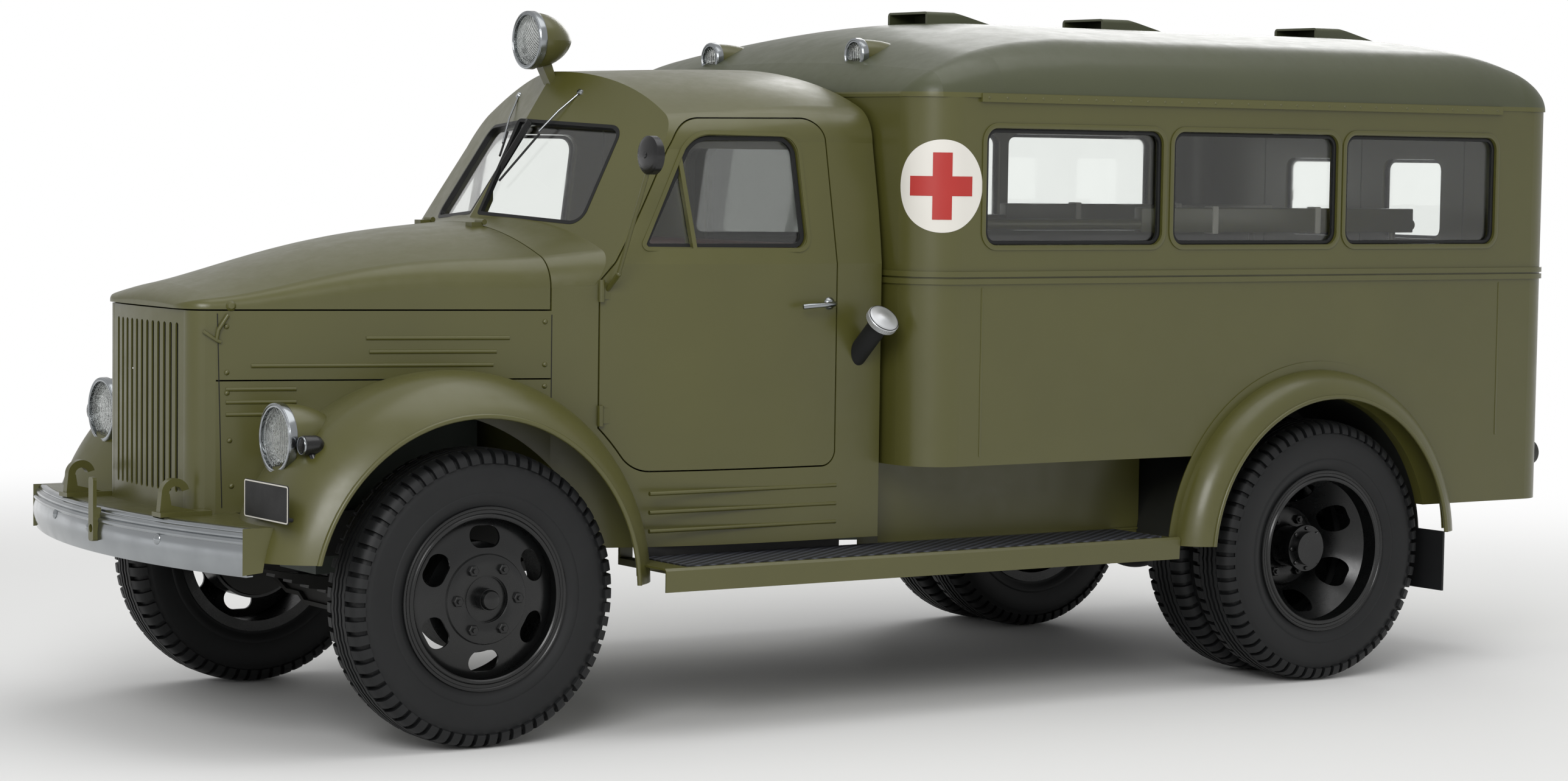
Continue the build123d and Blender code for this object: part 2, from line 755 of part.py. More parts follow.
def fender_section(lip_y, lip_r, crown_y, crown_r, inner_y, inner_drop_r, wall):
    """Crowned section in (y, radius): lip arc outside the crown, flatter arc inside it."""
    reach = lip_y - crown_y
    drop = crown_r - lip_r
    outer_r = (reach**2 + drop**2) / (2 * drop)
    centre_out = (crown_y, crown_r - outer_r)
    turn = math.atan2(lip_r - centre_out[1], reach)
    width = crown_y - inner_y
    swing = math.asin(width / inner_drop_r)
    centre_in = (crown_y, crown_r - inner_drop_r)

    def on_out(radius, angle):
        return (centre_out[0] + radius * math.cos(angle), centre_out[1] + radius * math.sin(angle))

    def on_in(radius, angle):
        return (centre_in[0] - radius * math.sin(angle), centre_in[1] + radius * math.cos(angle))

    mid = (turn + math.pi / 2) / 2
    r_out, r_in = outer_r - wall, inner_drop_r - wall
    return make_face(
        [
            ThreePointArc(on_out(outer_r, turn), on_out(outer_r, mid), (crown_y, crown_r)),
            ThreePointArc((crown_y, crown_r), on_in(inner_drop_r, swing / 2), on_in(inner_drop_r, swing)),
            Line(on_in(inner_drop_r, swing), on_in(r_in, swing)),
            ThreePointArc(on_in(r_in, swing), on_in(r_in, swing / 2), (crown_y, crown_r - wall)),
            ThreePointArc((crown_y, crown_r - wall), on_out(r_out, mid), on_out(r_out, turn)),
            Line(on_out(r_out, turn), on_out(outer_r, turn)),
        ]
    )


FENDER_INNER_Y = 335.0
FENDER_INNER_ARC = 620.0
LIP_BEAD_R = 8.0


def arch_sweep(face, x):
    """A (y, radius) section swung over a wheel arch, from the front horizon to the rear one."""
    axis = Axis((x, 0, AXLE_Z), (0, 1, 0))
    upright = Pos(x, 0, AXLE_Z) * (Plane.YZ * face)
    return revolve(upright, axis, revolution_arc=360)


def front_fender(bay, cab):
    """Left front fender: a crowned arch that runs in to the engine bay's side."""
    section = fender_section(
        FENDER_LIP_Y, FENDER_LIP_R, FENDER_CROWN_Y, FENDER_CROWN_R, FENDER_INNER_Y, FENDER_INNER_ARC, SHEET
    )
    bead = Pos(FENDER_LIP_Y, FENDER_LIP_R) * Circle(LIP_BEAD_R)
    ring = arch_sweep(section + bead, ARCH_X)
    ring -= block((ARCH_X - 900, ARCH_X), (0, 1200), (-500, FENDER_REAR_Z))
    ring -= block((ARCH_X, ARCH_X + 900), (0, 1200), (-500, FENDER_FRONT_Z))
    ring -= block((ARCH_X - 900, HOOD_REAR_X), (0, BOARD_INNER_Y), (0, CAB_SILL_Z))
    ring -= block((HOOD_REAR_X, ARCH_X + 900), (0, RAIL_OUTER_Y + PANEL_GAP), (0, APRON_TOP))
    ring -= bay
    ring -= cab
    return ring


def fender_fill():
    """Solid inside the left fender's outer surface."""
    section = fender_section(
        FENDER_LIP_Y, FENDER_LIP_R, FENDER_CROWN_Y, FENDER_CROWN_R, FENDER_INNER_Y, FENDER_INNER_ARC, 200
    )
    return arch_sweep(section, ARCH_X)


# Cab

# Sections of the cab: x, belt half width, upper half width, top, crown radius
CAB_SECTIONS = (
    (HOOD_REAR_X, HOOD_REAR_Y, 590.0, 2088.0, 1100.0),
    (DOOR_FRONT_X, 688.0, 600.0, 2094.0, 1100.0),
    (-650.0, 735.0, 618.0, 2098.0, 1150.0),
    (-850.0, 775.0, 650.0, 2105.0, 1250.0),
    (-1100.0, 797.0, 695.0, 2115.0, 1500.0),
    (-1350.0, 800.0, 722.0, 2122.0, 1700.0),
    (CAB_REAR_X - 10, 800.0, 724.0, 2122.0, 1700.0),
)
CAB_SHOULDER_R = 130.0
# Sections of the cowl's top: x, half width, top, crown radius, shoulder radius
COWL_SECTIONS = (
    (HOOD_REAR_X + 1, HOOD_REAR_Y - 1.5, 1599.0, 1670.0, 105.0),
    (DOOR_FRONT_X, 686.5, 1633.0, 1700.0, 115.0),
    (-640.0, 731.0, 1662.0, 1750.0, 125.0),
)
COWL_LEDGE = 80.0
ROOF_REAR_ARC = 137.0


def cowl_section(x, half, top, crown_r, corner_r, foot):
    """The cowl's bow with a ledge at the shoulder's foot, so that the cab's side stays whole."""
    reach = crown_r - corner_r
    corner_y = half - corner_r
    crown_z = top - crown_r
    corner_z = crown_z + math.sqrt(reach**2 - corner_y**2)
    turn = math.atan2(corner_z - crown_z, corner_y)
    end = (crown_r * math.cos(turn), crown_z + crown_r * math.sin(turn))
    middle = (corner_y + corner_r * math.cos(turn / 2), corner_z + corner_r * math.sin(turn / 2))
    ledge = half + COWL_LEDGE
    return Pos(x, 0, 0) * (
        Plane.YZ
        * make_face(
            [
                Line((-ledge, foot), (-ledge, corner_z)),
                Line((-ledge, corner_z), (-half, corner_z)),
                ThreePointArc((-half, corner_z), (-middle[0], middle[1]), (-end[0], end[1])),
                ThreePointArc((-end[0], end[1]), (0, top), end),
                ThreePointArc(end, middle, (half, corner_z)),
                Line((half, corner_z), (ledge, corner_z)),
                Line((ledge, corner_z), (ledge, foot)),
                Line((ledge, foot), (-ledge, foot)),
            ]
        )
    )


def screen_space(inset):
    """Space ahead of the two windscreen planes, each moved in by a wall thickness."""
    nx, ny, nz = SCREEN_NORMAL
    origin = (SCREEN_BASE[0] - inset / nx, 0, SCREEN_BASE[2])
    left = half_space(origin, (nx, ny, nz))
    right = half_space(origin, (nx, -ny, nz))
    return left + right


def cab_hull(inset):
    """The cab without its windscreen's slope, or its inner form when moved in by a wall."""
    body = loft(
        [
            hoop(
                x,
                upper - inset,
                CAB_SILL_Z,
                top - inset,
                crown - inset,
                CAB_SHOULDER_R - inset,
                (belt - inset, CAB_BELT_Z),
            )
            for x, belt, upper, top, crown in CAB_SECTIONS
        ]
    )
    rear = CAB_REAR_X + inset
    plan = block((rear, HOOD_REAR_X + 50), (-900, 900), (0, 2600))
    corners = plan.edges().filter_by(Axis.Z).group_by(Axis.X)[0]
    plan = fillet(corners, CAB_CORNER_R)
    body = body & plan
    crown_top = CAB_SECTIONS[-1][3] + 17 - inset
    corner = ROOF_REAR_ARC
    wedge = polygon(
        (rear - 50, crown_top - corner),
        (rear, crown_top - corner),
        (rear + corner, crown_top - corner),
        (rear + corner, crown_top + 60),
        (rear - 50, crown_top + 60),
    ) - Pos(rear + corner, crown_top - corner) * Circle(corner)
    return body - along_y(wedge, -900, 900)


def cab_form(inset):
    """Outer form of the cab with its windscreen planes and cowl, or its inner form."""
    cowl = loft(
        [
            cowl_section(x, half - inset, top - inset, crown - inset, corner - inset, 400)
            for x, half, top, crown, corner in COWL_SECTIONS
        ]
    )
    return cab_hull(inset) - (screen_space(inset) - cowl)


def door_outline():
    """Door opening in side view (x, z); its lower front corner clears the fender."""
    x0, x1, low, top = DOOR_FRONT_X, DOOR_REAR_X, DOOR_BOTTOM_Z, DOOR_TOP_Z
    low_x = ARCH_X - math.sqrt(DOOR_CLEAR_R**2 - (low - AXLE_Z) ** 2)
    front_z = AXLE_Z + math.sqrt(DOOR_CLEAR_R**2 - (x0 - ARCH_X) ** 2)
    turn = (math.atan2(low - AXLE_Z, low_x - ARCH_X) + math.atan2(front_z - AXLE_Z, x0 - ARCH_X)) / 2
    arch_mid = (ARCH_X + DOOR_CLEAR_R * math.cos(turn), AXLE_Z + DOOR_CLEAR_R * math.sin(turn))
    slope_foot = (x0 - 52, 1490)
    slope_head = (x0 - 344, top - 7)
    face = make_face(
        [
            ThreePointArc((low_x, low), arch_mid, (x0, front_z)),
            Line((x0, front_z), (x0, slope_foot[1] - 65)),
            Line((x0, slope_foot[1] - 65), slope_foot),
            Line(slope_foot, slope_head),
            Line(slope_head, (x1, top)),
            Line((x1, top), (x1, low)),
            Line((x1, low), (low_x, low)),
        ]
    )
    toe = ((low_x, low), 110.0)
    rounds = (toe, ((x1, low), 55.0), ((x1, top), 85.0), (slope_head, 130.0), (slope_foot, 60.0))
    for (x, z), radius in rounds:
        face = fillet(face.vertices().sort_by_distance((x, z, 0))[0], radius)
    return face


# Side window: corner points (x, z) and the radius of each
WINDOW_POINTS = (
    (-652.0, WINDOW_SILL_Z),
    (-883.0, 1893.0),
    (-1240.0, 1893.0),
    (-1240.0, WINDOW_SILL_Z),
)
WINDOW_ROUNDS = (18.0, 110.0, 60.0, 45.0)
VENT_BAR = (-836.0, -822.0)


def door_window():
    face = polygon(*WINDOW_POINTS)
    for (x, z), radius in zip(WINDOW_POINTS, WINDOW_ROUNDS):
        face = fillet(face.vertices().sort_by_distance((x, z, 0))[0], radius)
    return face


SCREEN_MARGIN_Y = 26.0
SCREEN_CORNER_Y = 487.0
SCREEN_HEIGHT = 395.0
SCREEN_SWEEP = 0.958
SCREEN_DEPTH = 14.0
GLASS = 6.0


def screen_plane(depth):
    """Plane of the left windscreen half: x outwards along its foot, y up the slope."""
    nx, ny, nz = SCREEN_NORMAL
    normal = Vector(nx, ny, nz)
    origin = Vector(*SCREEN_BASE) - normal * depth
    across = Vector(-ny, nx, 0).normalized()
    return Plane(origin=origin, x_dir=across, z_dir=normal)


def screen_pane():
    """Outline of one pane on its plane."""
    width = SCREEN_CORNER_Y / SCREEN_SWEEP
    pane = polygon(
        (SCREEN_MARGIN_Y, 12),
        (width, -18),
        (width + 3, SCREEN_HEIGHT - 33),
        (SCREEN_MARGIN_Y, SCREEN_HEIGHT - 7),
    )
    pane = fillet(pane.vertices().sort_by(Axis.X)[-2:], 55)
    return fillet(pane.vertices().sort_by(Axis.X)[:2], 14)


def screen_cut():
    return screen_plane(120) * extrude(screen_pane(), 240)


def rear_window(grow=0.0):
    return round_rect((-360 - grow, 360 + grow), (1515 - grow, 1850 + grow), 60)


def cab_inside():
    """Space inside the cab, above its floor."""
    rear = CAB_REAR_X + CAB_WALL
    return cab_form(CAB_WALL) & block((rear, HOOD_REAR_X - 60), (-900, 900), (CAB_FLOOR_Z, 2300))


# Ribs pressed in the sill under the door: z, front x, rear x
SILL_RIBS = ((752.0, -640.0, -1360.0), (692.0, -640.0, -1360.0), (632.0, -640.0, -1360.0))


CAB_MOUNTS = (-620.0, -1420.0)


# Depth behind the wall that the door opening clears for the door's inner edge
OPENING_RELIEF = 15.0


def cab_shell(outer, inside, arch):
    """The cab with its openings cut, before it is split at the panels' seams."""
    shell = outer - inside
    low = CAB_FLOOR_Z - CAB_FLOOR_THICK
    under = cab_form(20) & block((CAB_REAR_X + 20, HOOD_REAR_X - 20), (-900, 900), (CAB_SILL_Z - 50, low))
    shell -= under
    tunnel_half = RAIL_OUTER_Y + 20
    shell -= block((CAB_REAR_X - 10, HOOD_REAR_X + 10), (-tunnel_half, tunnel_half), (400, low))
    shell -= arch
    opening = along_y(door_outline(), 300, 1000) - cab_hull(CAB_WALL + OPENING_RELIEF)
    shell -= opening
    shell -= other_side(opening)
    pane = screen_cut()
    shell -= pane
    shell -= other_side(pane)
    shell -= along_x(rear_window(), CAB_REAR_X - 10, CAB_REAR_X + CAB_WALL + 20)
    shell -= hinge_notch()
    for x in CAB_MOUNTS:
        pad = block((x - 40, x + 40), (RAIL_OUTER_Y - RAIL_FLANGE, RAIL_OUTER_Y), (RAIL_TOP, low))
        shell += pad + other_side(pad)
    for z, x0, x1 in SILL_RIBS:
        rib = rod((x0, 797, z), (x1, 797, z), RIB_HALF) - outer
        rib = rib & block((x0, x1), (790, 900), (z - 20, z + 20))
        shell += rib
        shell += other_side(rib)
    return shell


PILLAR_SPLIT_X = -930.0


def cab_panels(shell):
    """The shell parted at the seams: roof, sills with the floor, front and rear."""
    sill_top = DOOR_BOTTOM_Z - 10
    roof = shell & block((-2000, 0), (-1000, 1000), (CAB_ROOF_SPLIT_Z, 2400))
    floor = shell & block((-2000, 0), (-1000, 1000), (400, sill_top))
    front = shell & block((PILLAR_SPLIT_X, 0), (-1000, 1000), (sill_top, CAB_ROOF_SPLIT_Z))
    rear = shell & block((-2000, PILLAR_SPLIT_X), (-1000, 1000), (sill_top, CAB_ROOF_SPLIT_Z))
    return roof, floor, front, rear


def wheelhouse(arch_x, arch_r, y0, y1):
    """Inner arch over a wheel, closed on its inner side."""
    ring = disc_y(arch_r + SHEET, y0 - SHEET, y1, arch_x, AXLE_Z)
    return ring - disc_y(arch_r, y0, y1 + 1, arch_x, AXLE_Z)


DOOR_HINGE_R = 10.0
DOOR_AXIS = (DOOR_FRONT_X - 2.5, 702.0)
DOOR_HINGES = ((1360.0, 1430.0), (965.0, 1030.0))


def hinge_leaf(z0, z1):
    """Strap between a door hinge's barrel and the door's skin."""
    x, y = DOOR_AXIS
    return block((x - 45, x), (y - 20, y), (z0 + 8, z1 - 8))


def cab_door(outer, inner_hull):
    """Left door, as thick as the cab's wall, with its window cut and its hinge barrels."""
    gap = offset(door_outline(), -PANEL_GAP)
    door = outer & along_y(gap, 300, 1000)
    door -= inner_hull
    window = door_window() - round_rect(VENT_BAR, (1400, 2000), 1)
    door -= along_y(window, 300, 1000)
    for z0, z1 in DOOR_HINGES:
        x, y = DOOR_AXIS
        door += rod((x, y, z0), (x, y, z1), DOOR_HINGE_R)
        door += hinge_leaf(z0, z1) - outer
    return door


def door_glass():
    """Quarter light and drop glass in the middle of the door's thickness."""
    window = door_window()
    panes = cab_hull(CAB_WALL / 2 - GLASS / 2) - cab_hull(CAB_WALL / 2 + GLASS / 2)
    front = panes & along_y(window - round_rect((-1300, VENT_BAR[1]), (1400, 2000), 1), 300, 1000)
    rear = panes & along_y(window - round_rect((VENT_BAR[0], -500), (1400, 2000), 1), 300, 1000)
    return group(front, rear)


def cab_glass():
    pane = screen_plane(SCREEN_DEPTH + GLASS) * extrude(screen_pane(), GLASS)
    x = CAB_REAR_X + CAB_WALL / 2
    rear = along_x(rear_window(), x, x + GLASS)
    return group(pane, other_side(pane), rear)


MIRROR_AT = (-535.0, 950.0, 1826.0)
MIRROR_R = 59.0


def door_mirror():
    """Round mirror on a bent arm from the left door's upper hinge."""
    x, y = DOOR_AXIS
    foot = (x - 24, y - 4, DOOR_HINGES[0][1] - 30)
    elbow = (x - 24, y + 62, DOOR_HINGES[0][1] + 20)
    mx, my, mz = MIRROR_AT
    arm = rod(foot, elbow, 9) + Pos(*elbow) * Sphere(9)
    arm += rod(elbow, (mx, my, mz - 20), 7)
    head = rod((mx - 12, my, mz), (mx + 10, my, mz), MIRROR_R)
    arm += head
    return arm - hinge_leaf(*DOOR_HINGES[0])


SEAT_X = (-1480.0, -1020.0)


def cab_seat():
    """Fuel tank box under a bench cushion, with its backrest."""
    base = block((SEAT_X[0] + 20, SEAT_X[1] - 40), (-600, 600), (CAB_FLOOR_Z, 1010))
    cushion = block(SEAT_X, (-640, 640), (1010, 1140))
    cushion = fillet(cushion.edges().filter_by(Axis.Y), 40)
    back = polygon((SEAT_X[0], 1140), (SEAT_X[0] + 150, 1140), (SEAT_X[0] + 110, 1560), (SEAT_X[0], 1560))
    back = along_y(fillet(back.vertices().sort_by(Axis.Y)[-2:], 35), -620, 620)
    return base + cushion + back


def dashboard(inside):
    """Instrument panel behind the windscreen's foot."""
    x0 = HOOD_REAR_X - 60
    panel = polygon((x0, 1180), (x0 - 150, 1240), (x0 - 165, 1440), (x0 - 60, 1500), (x0, 1500))
    return along_y(panel, -560, 560) & inside


WHEEL_CENTRE = (-900.0, 340.0, 1450.0)
STEERING_WHEEL_R = 215.0
COLUMN_FOOT = (-560.0, 340.0, CAB_FLOOR_Z)


def steering_wheel(panel):
    """Column rising from the toe board, with a three-spoked wheel."""
    centre = Vector(*WHEEL_CENTRE)
    foot = Vector(*COLUMN_FOOT)
    column = rod(COLUMN_FOOT, WHEEL_CENTRE, 20)
    face = Plane(origin=centre, z_dir=centre - foot)
    rim = face * Torus(STEERING_WHEEL_R, 11)
    spokes = None
    for n in range(3):
        spoke = face * (Rot(0, 0, 120 * n + 90) * rod((0, 0, 0), (STEERING_WHEEL_R, 0, 0), 8))
        spokes = spoke if spokes is None else spokes + spoke
    hub = face * Cylinder(34, 30)
    level = block((-700, -400), (200, 500), (CAB_FLOOR_Z - 60, CAB_FLOOR_Z))
    return (column + rim + spokes + hub) - level - panel


FILLER = ((-1440.0, 690.0, 1090.0), (-1455.0, 905.0, 1290.0))
FILLER_R = 34.0


def fuel_filler(outer):
    """Slanted filler neck at the cab's rear left corner, with its cap."""
    foot, mouth = FILLER
    direction = (Vector(*mouth) - Vector(*foot)).normalized()
    neck = rod(foot, mouth, FILLER_R) - outer
    cap_end = Vector(*mouth) + direction * 24
    cap = rod(mouth, tuple(cap_end), 53)
    return neck + cap


# Ambulance body

# Side windows: rear x, front x
SIDE_WINDOWS = ((-2558.0, -1806.0), (-3360.0, -2609.0), (-4137.0, -3403.0))
SIDE_WINDOW_Z = (1545.0, 1930.0)
SIDE_WINDOW_R = 45.0
# Belt moulding: two ribs one above the other
BELT_RIBS = ((1416.0, 1434.0), (1440.0, 1458.0))
BELT_DEPTH = 8.0
FRONT_PASS = ((-330.0, 330.0), (1510.0, 1860.0))


def body_plan(inset):
    """Plan of the ambulance body."""
    face = polygon(
        (BODY_FRONT_X - inset, BODY_HALF - inset),
        (BODY_REAR_X + inset, BODY_HALF - inset),
        (BODY_REAR_X + inset, inset - BODY_HALF),
        (BODY_FRONT_X - inset, inset - BODY_HALF),
    )
    front = face.vertices().group_by(Axis.X)[-1]
    face = fillet(front, BODY_FRONT_R - inset)
    rear = face.vertices().group_by(Axis.X)[0]
    return fillet(rear, BODY_REAR_R - inset)


# Slot in the rear skirt for the tow hook
TOW_SLOT_Y = (-60.0, 60.0)
TOW_SLOT_TOP = 700.0


def body_shell():
    """Walls of the body with windows, door opening, wheel arches, belt moulding and tow slot."""
    walls = along_z(body_plan(0), BODY_SKIRT_Z, BODY_EAVES_Z)
    for z0, z1 in BELT_RIBS:
        walls += along_z(body_plan(-BELT_DEPTH), z0, z1)
    walls -= along_z(body_plan(BODY_WALL), BODY_SKIRT_Z, BODY_EAVES_Z)
    walls -= block((REAR_ARCH_X, BODY_FRONT_X + 10), (-1100, 1100), (BODY_SKIRT_Z - 1, BODY_BOTTOM_Z))
    opening_half = REAR_DOOR_HALF + PANEL_GAP
    walls -= block(
        (BODY_REAR_X - 20, BODY_REAR_X + BODY_WALL + 20),
        (-opening_half, opening_half),
        (REAR_DOOR_BOTTOM, REAR_DOOR_TOP),
    )
    for x0, x1 in SIDE_WINDOWS:
        walls -= along_y(round_rect((x0, x1), SIDE_WINDOW_Z, SIDE_WINDOW_R), -1100, 1100)
    walls -= along_x(round_rect(*FRONT_PASS, 60), BODY_FRONT_X - BODY_WALL - 10, BODY_FRONT_X + 20)
    walls -= disc_y(REAR_ARCH_R, -1100, 1100, REAR_ARCH_X, AXLE_Z)
    walls -= block((BODY_REAR_X - 20, BODY_REAR_X + BODY_WALL + 5), TOW_SLOT_Y, (BODY_SKIRT_Z - 1, TOW_SLOT_TOP))
    return walls


def body_panels(walls):
    """The walls parted at the upright seams."""
    high = (BODY_SKIRT_Z - 10, BODY_EAVES_Z + 10)
    front = walls & block((FRONT_SEAM_X, BODY_FRONT_X + 50), (-1100, 1100), high)
    middle = walls & block((REAR_SEAM_X, FRONT_SEAM_X), (-1100, 1100), high)
    rear = walls & block((BODY_REAR_X - 50, REAR_SEAM_X), (-1100, 1100), high)
    return front, middle, rear


FLOOR_BEARERS = (-1700.0, -2100.0, -2600.0, -4050.0)
BEARER_WIDTH = 60.0


def body_floor():
    """Floor with wheelhouses, on bearers across the frame."""
    top = BODY_BOTTOM_Z + BODY_FLOOR_THICK
    floor = along_z(body_plan(BODY_WALL), BODY_BOTTOM_Z, top)
    for x in FLOOR_BEARERS:
        floor += block((x - BEARER_WIDTH / 2, x + BEARER_WIDTH / 2), (-680, 680), (RAIL_TOP, BODY_BOTTOM_Z))
    house = wheelhouse(REAR_ARCH_X, REAR_ARCH_R, 560, BODY_HALF - BODY_WALL)
    house -= block((-5000, 0), (0, 1200), (-200, REAR_FENDER_Z))
    cut = disc_y(REAR_ARCH_R + SHEET, 560 - SHEET, 1100, REAR_ARCH_X, AXLE_Z)
    floor -= cut
    floor -= other_side(cut)
    return floor + house + other_side(house)


# Sections of a roof's end dome, as shares of its length counted from the end
DOME_STEPS = (0.0, 0.03, 0.1, 0.22, 0.4, 0.65, 1.0)
FRONT_DOME = 790.0
REAR_DOME = 430.0
EDGE_RISE = 12.0
CROWN_PRODUCT = 1.4e6


def roof_bow(x, half, rise):
    """A roof bow at x whose crown is flatter where the roof is lower."""
    crown_r = CROWN_PRODUCT / rise
    corner_r = (2 * crown_r * rise - rise**2 - half**2) / (2 * (crown_r - half))
    return hoop(x, half, BODY_EAVES_Z - 20, BODY_EAVES_Z + rise, crown_r, corner_r)


def roof_dome(end, length, sign, corner_r, half, rise):
    """Bows of a domed end, rising as a quarter of an ellipse; its plan follows the corners."""
    bows = []
    for step in DOME_STEPS:
        depth = step * length
        lift = max(rise * math.sqrt(1 - (1 - step) ** 2), EDGE_RISE)
        pull = corner_r - math.sqrt(corner_r**2 - max(corner_r - depth, 0) ** 2)
        bows.append(roof_bow(end - sign * depth, half - pull, lift))
    return bows


def roof_form(inset):
    """Roof with domed ends, or its inner form when moved in by a thickness."""
    half = BODY_HALF + ROOF_OVERHANG - inset
    rise = ROOF_RISE - inset
    front = BODY_FRONT_X + ROOF_OVERHANG - inset
    rear = BODY_REAR_X - ROOF_OVERHANG + inset
    front_bows = roof_dome(front, FRONT_DOME - inset, 1, BODY_FRONT_R - inset, half, rise)
    rear_bows = roof_dome(rear, REAR_DOME - inset, -1, BODY_REAR_R - inset, half, rise)
    form = loft([front_bows[-1], rear_bows[-1]], ruled=True)
    for bows in (front_bows, rear_bows):
        for n in range(0, len(bows) - 1, 2):
            form += loft(bows[n : n + 3])
    return form & block((-5000, 0), (-1200, 1200), (BODY_EAVES_Z, 2500))


def body_roof():
    roof = roof_form(0) - roof_form(ROOF_WALL)
    strip = block(
        (SIDE_WINDOWS[2][0] - 22, SIDE_WINDOWS[0][1] + 30),
        (BODY_HALF - 1, BODY_HALF + 12),
        (BODY_EAVES_Z - 14, BODY_EAVES_Z + 14),
    )
    strip -= along_z(body_plan(0), BODY_SKIRT_Z, BODY_EAVES_Z)
    strip -= roof_form(0)
    return roof + strip + other_side(strip)


def body_glass():
    """Fixed panes in the middle of the side walls, and the pane to the cab."""
    panes = []
    for x0, x1 in SIDE_WINDOWS:
        outline = round_rect((x0, x1), SIDE_WINDOW_Z, SIDE_WINDOW_R)
        pane = along_y(outline, BODY_HALF - BODY_WALL / 2 - GLASS, BODY_HALF - BODY_WALL / 2)
        panes += [pane, other_side(pane)]
    x = BODY_FRONT_X - BODY_WALL / 2
    panes.append(along_x(round_rect(*FRONT_PASS, 60), x, x + GLASS))
    return group(*panes)


def rear_fender():
    """Left rear fender: a quarter-round arch standing out from the body's side."""
    lip_y = REAR_FENDER_Y - LIP_BEAD_R
    section = fender_section(
        lip_y, REAR_ARCH_R, BODY_HALF + 4, REAR_FENDER_R, BODY_HALF, 5000, SHEET
    )
    section += Pos(lip_y, REAR_ARCH_R) * Circle(LIP_BEAD_R)
    section += Pos(BODY_HALF + 2, REAR_FENDER_R + 10) * Rectangle(4, 40)
    ring = arch_sweep(section, REAR_ARCH_X)
    return ring & block((-5000, 0), (0, 1300), (REAR_FENDER_Z, 2000))


FLAP_X = REAR_ARCH_X - REAR_ARCH_R + 2.0


def mud_flap():
    return block((FLAP_X - 9, FLAP_X), (620, 1090), (295, REAR_FENDER_Z))


# Scoops along the roof's middle: x of the mouth
VENTS = (-2200.0, -3000.0, -4050.0)
VENT_LENGTH = 300.0
VENT_HALF = 120.0
VENT_RISE = 38.0


def roof_vents(roof_fill):
    """Three forward-facing scoops."""
    scoops = []
    top = BODY_EAVES_Z + ROOF_RISE
    for x in VENTS:
        outline = polygon(
            (x, top - 40),
            (x, top + VENT_RISE),
            (x - 120, top + VENT_RISE),
            (x - VENT_LENGTH, top - 6),
            (x - VENT_LENGTH, top - 40),
        )
        scoop = along_y(outline, -VENT_HALF, VENT_HALF)
        scoop = fillet(scoop.edges().filter_by(Axis.X).group_by(Axis.Z)[-1], 14)
        mouth_half = VENT_HALF - 12
        mouth = block((x - 110, x + 5), (-mouth_half, mouth_half), (top - 6, top + VENT_RISE - 8))
        scoops.append(scoop - roof_fill - mouth)
    return group(*scoops)


REAR_HINGE_R = 9.0
REAR_DOOR_AXIS = (BODY_REAR_X - REAR_HINGE_R - RUNNING_GAP, REAR_DOOR_HALF + PANEL_GAP / 2)
REAR_HINGES = (1000.0, 1700.0)


def rear_door():
    """Left leaf of the rear doors, with its window and hinge barrels."""
    x = BODY_REAR_X
    leaf = block(
        (x, x + BODY_WALL),
        (PANEL_GAP / 2, REAR_DOOR_HALF),
        (REAR_DOOR_BOTTOM + PANEL_GAP, REAR_DOOR_TOP - PANEL_GAP),
    )
    leaf -= along_x(round_rect((120, 440), (1545, 1850), 45), x - 10, x + BODY_WALL + 10)
    pin_x, pin_y = REAR_DOOR_AXIS
    for z in REAR_HINGES:
        leaf += rod((pin_x, pin_y, z - 45), (pin_x, pin_y, z + 45), REAR_HINGE_R)
        leaf += block((x - 6, x), (REAR_DOOR_HALF - 120, REAR_DOOR_HALF + 3), (z - 20, z + 20))
    return leaf


def rear_door_glass():
    x = BODY_REAR_X + BODY_WALL / 2
    return along_x(round_rect((120, 440), (1545, 1850), 45), x, x + GLASS)


BENCH_X = (-4300.0, -1750.0)


def stretchers():
    """Two stretchers on rails along the sides, over the wheelhouses, with their cushions."""
    shelf = block(BENCH_X, (380, 930), (1100, 1120))
    legs = None
    for x in (BENCH_X[0] + 60, -2500.0, BENCH_X[1] - 60):
        leg = block((x - 20, x + 20), (400, 440), (BODY_BOTTOM_Z + BODY_FLOOR_THICK, 1100))
        legs = leg if legs is None else legs + leg
        legs += block((x - 20, x + 20), (930, 960), (1080, 1120))
    cushion = block((BENCH_X[0] + 20, BENCH_X[1] - 20), (400, 910), (1120, 1200))
    cushion = fillet(cushion.edges().filter_by(Axis.X), 25)
    rail = rod((BENCH_X[0], 400, 1600), (BENCH_X[1], 400, 1600), 22)
    posts = None
    for x in (BENCH_X[0] + 100, BENCH_X[1] - 100):
        post = block((x - 15, x + 15), (388, 412), (1120, 1600))
        posts = post if posts is None else posts + post
    side = shelf + legs + cushion + rail + posts
    return both_sides(side)


# Running boards


BOARD_BRACKETS = (-800.0, -1500.0, -2300.0)
BRACKET_Z = (478.0, 500.0)


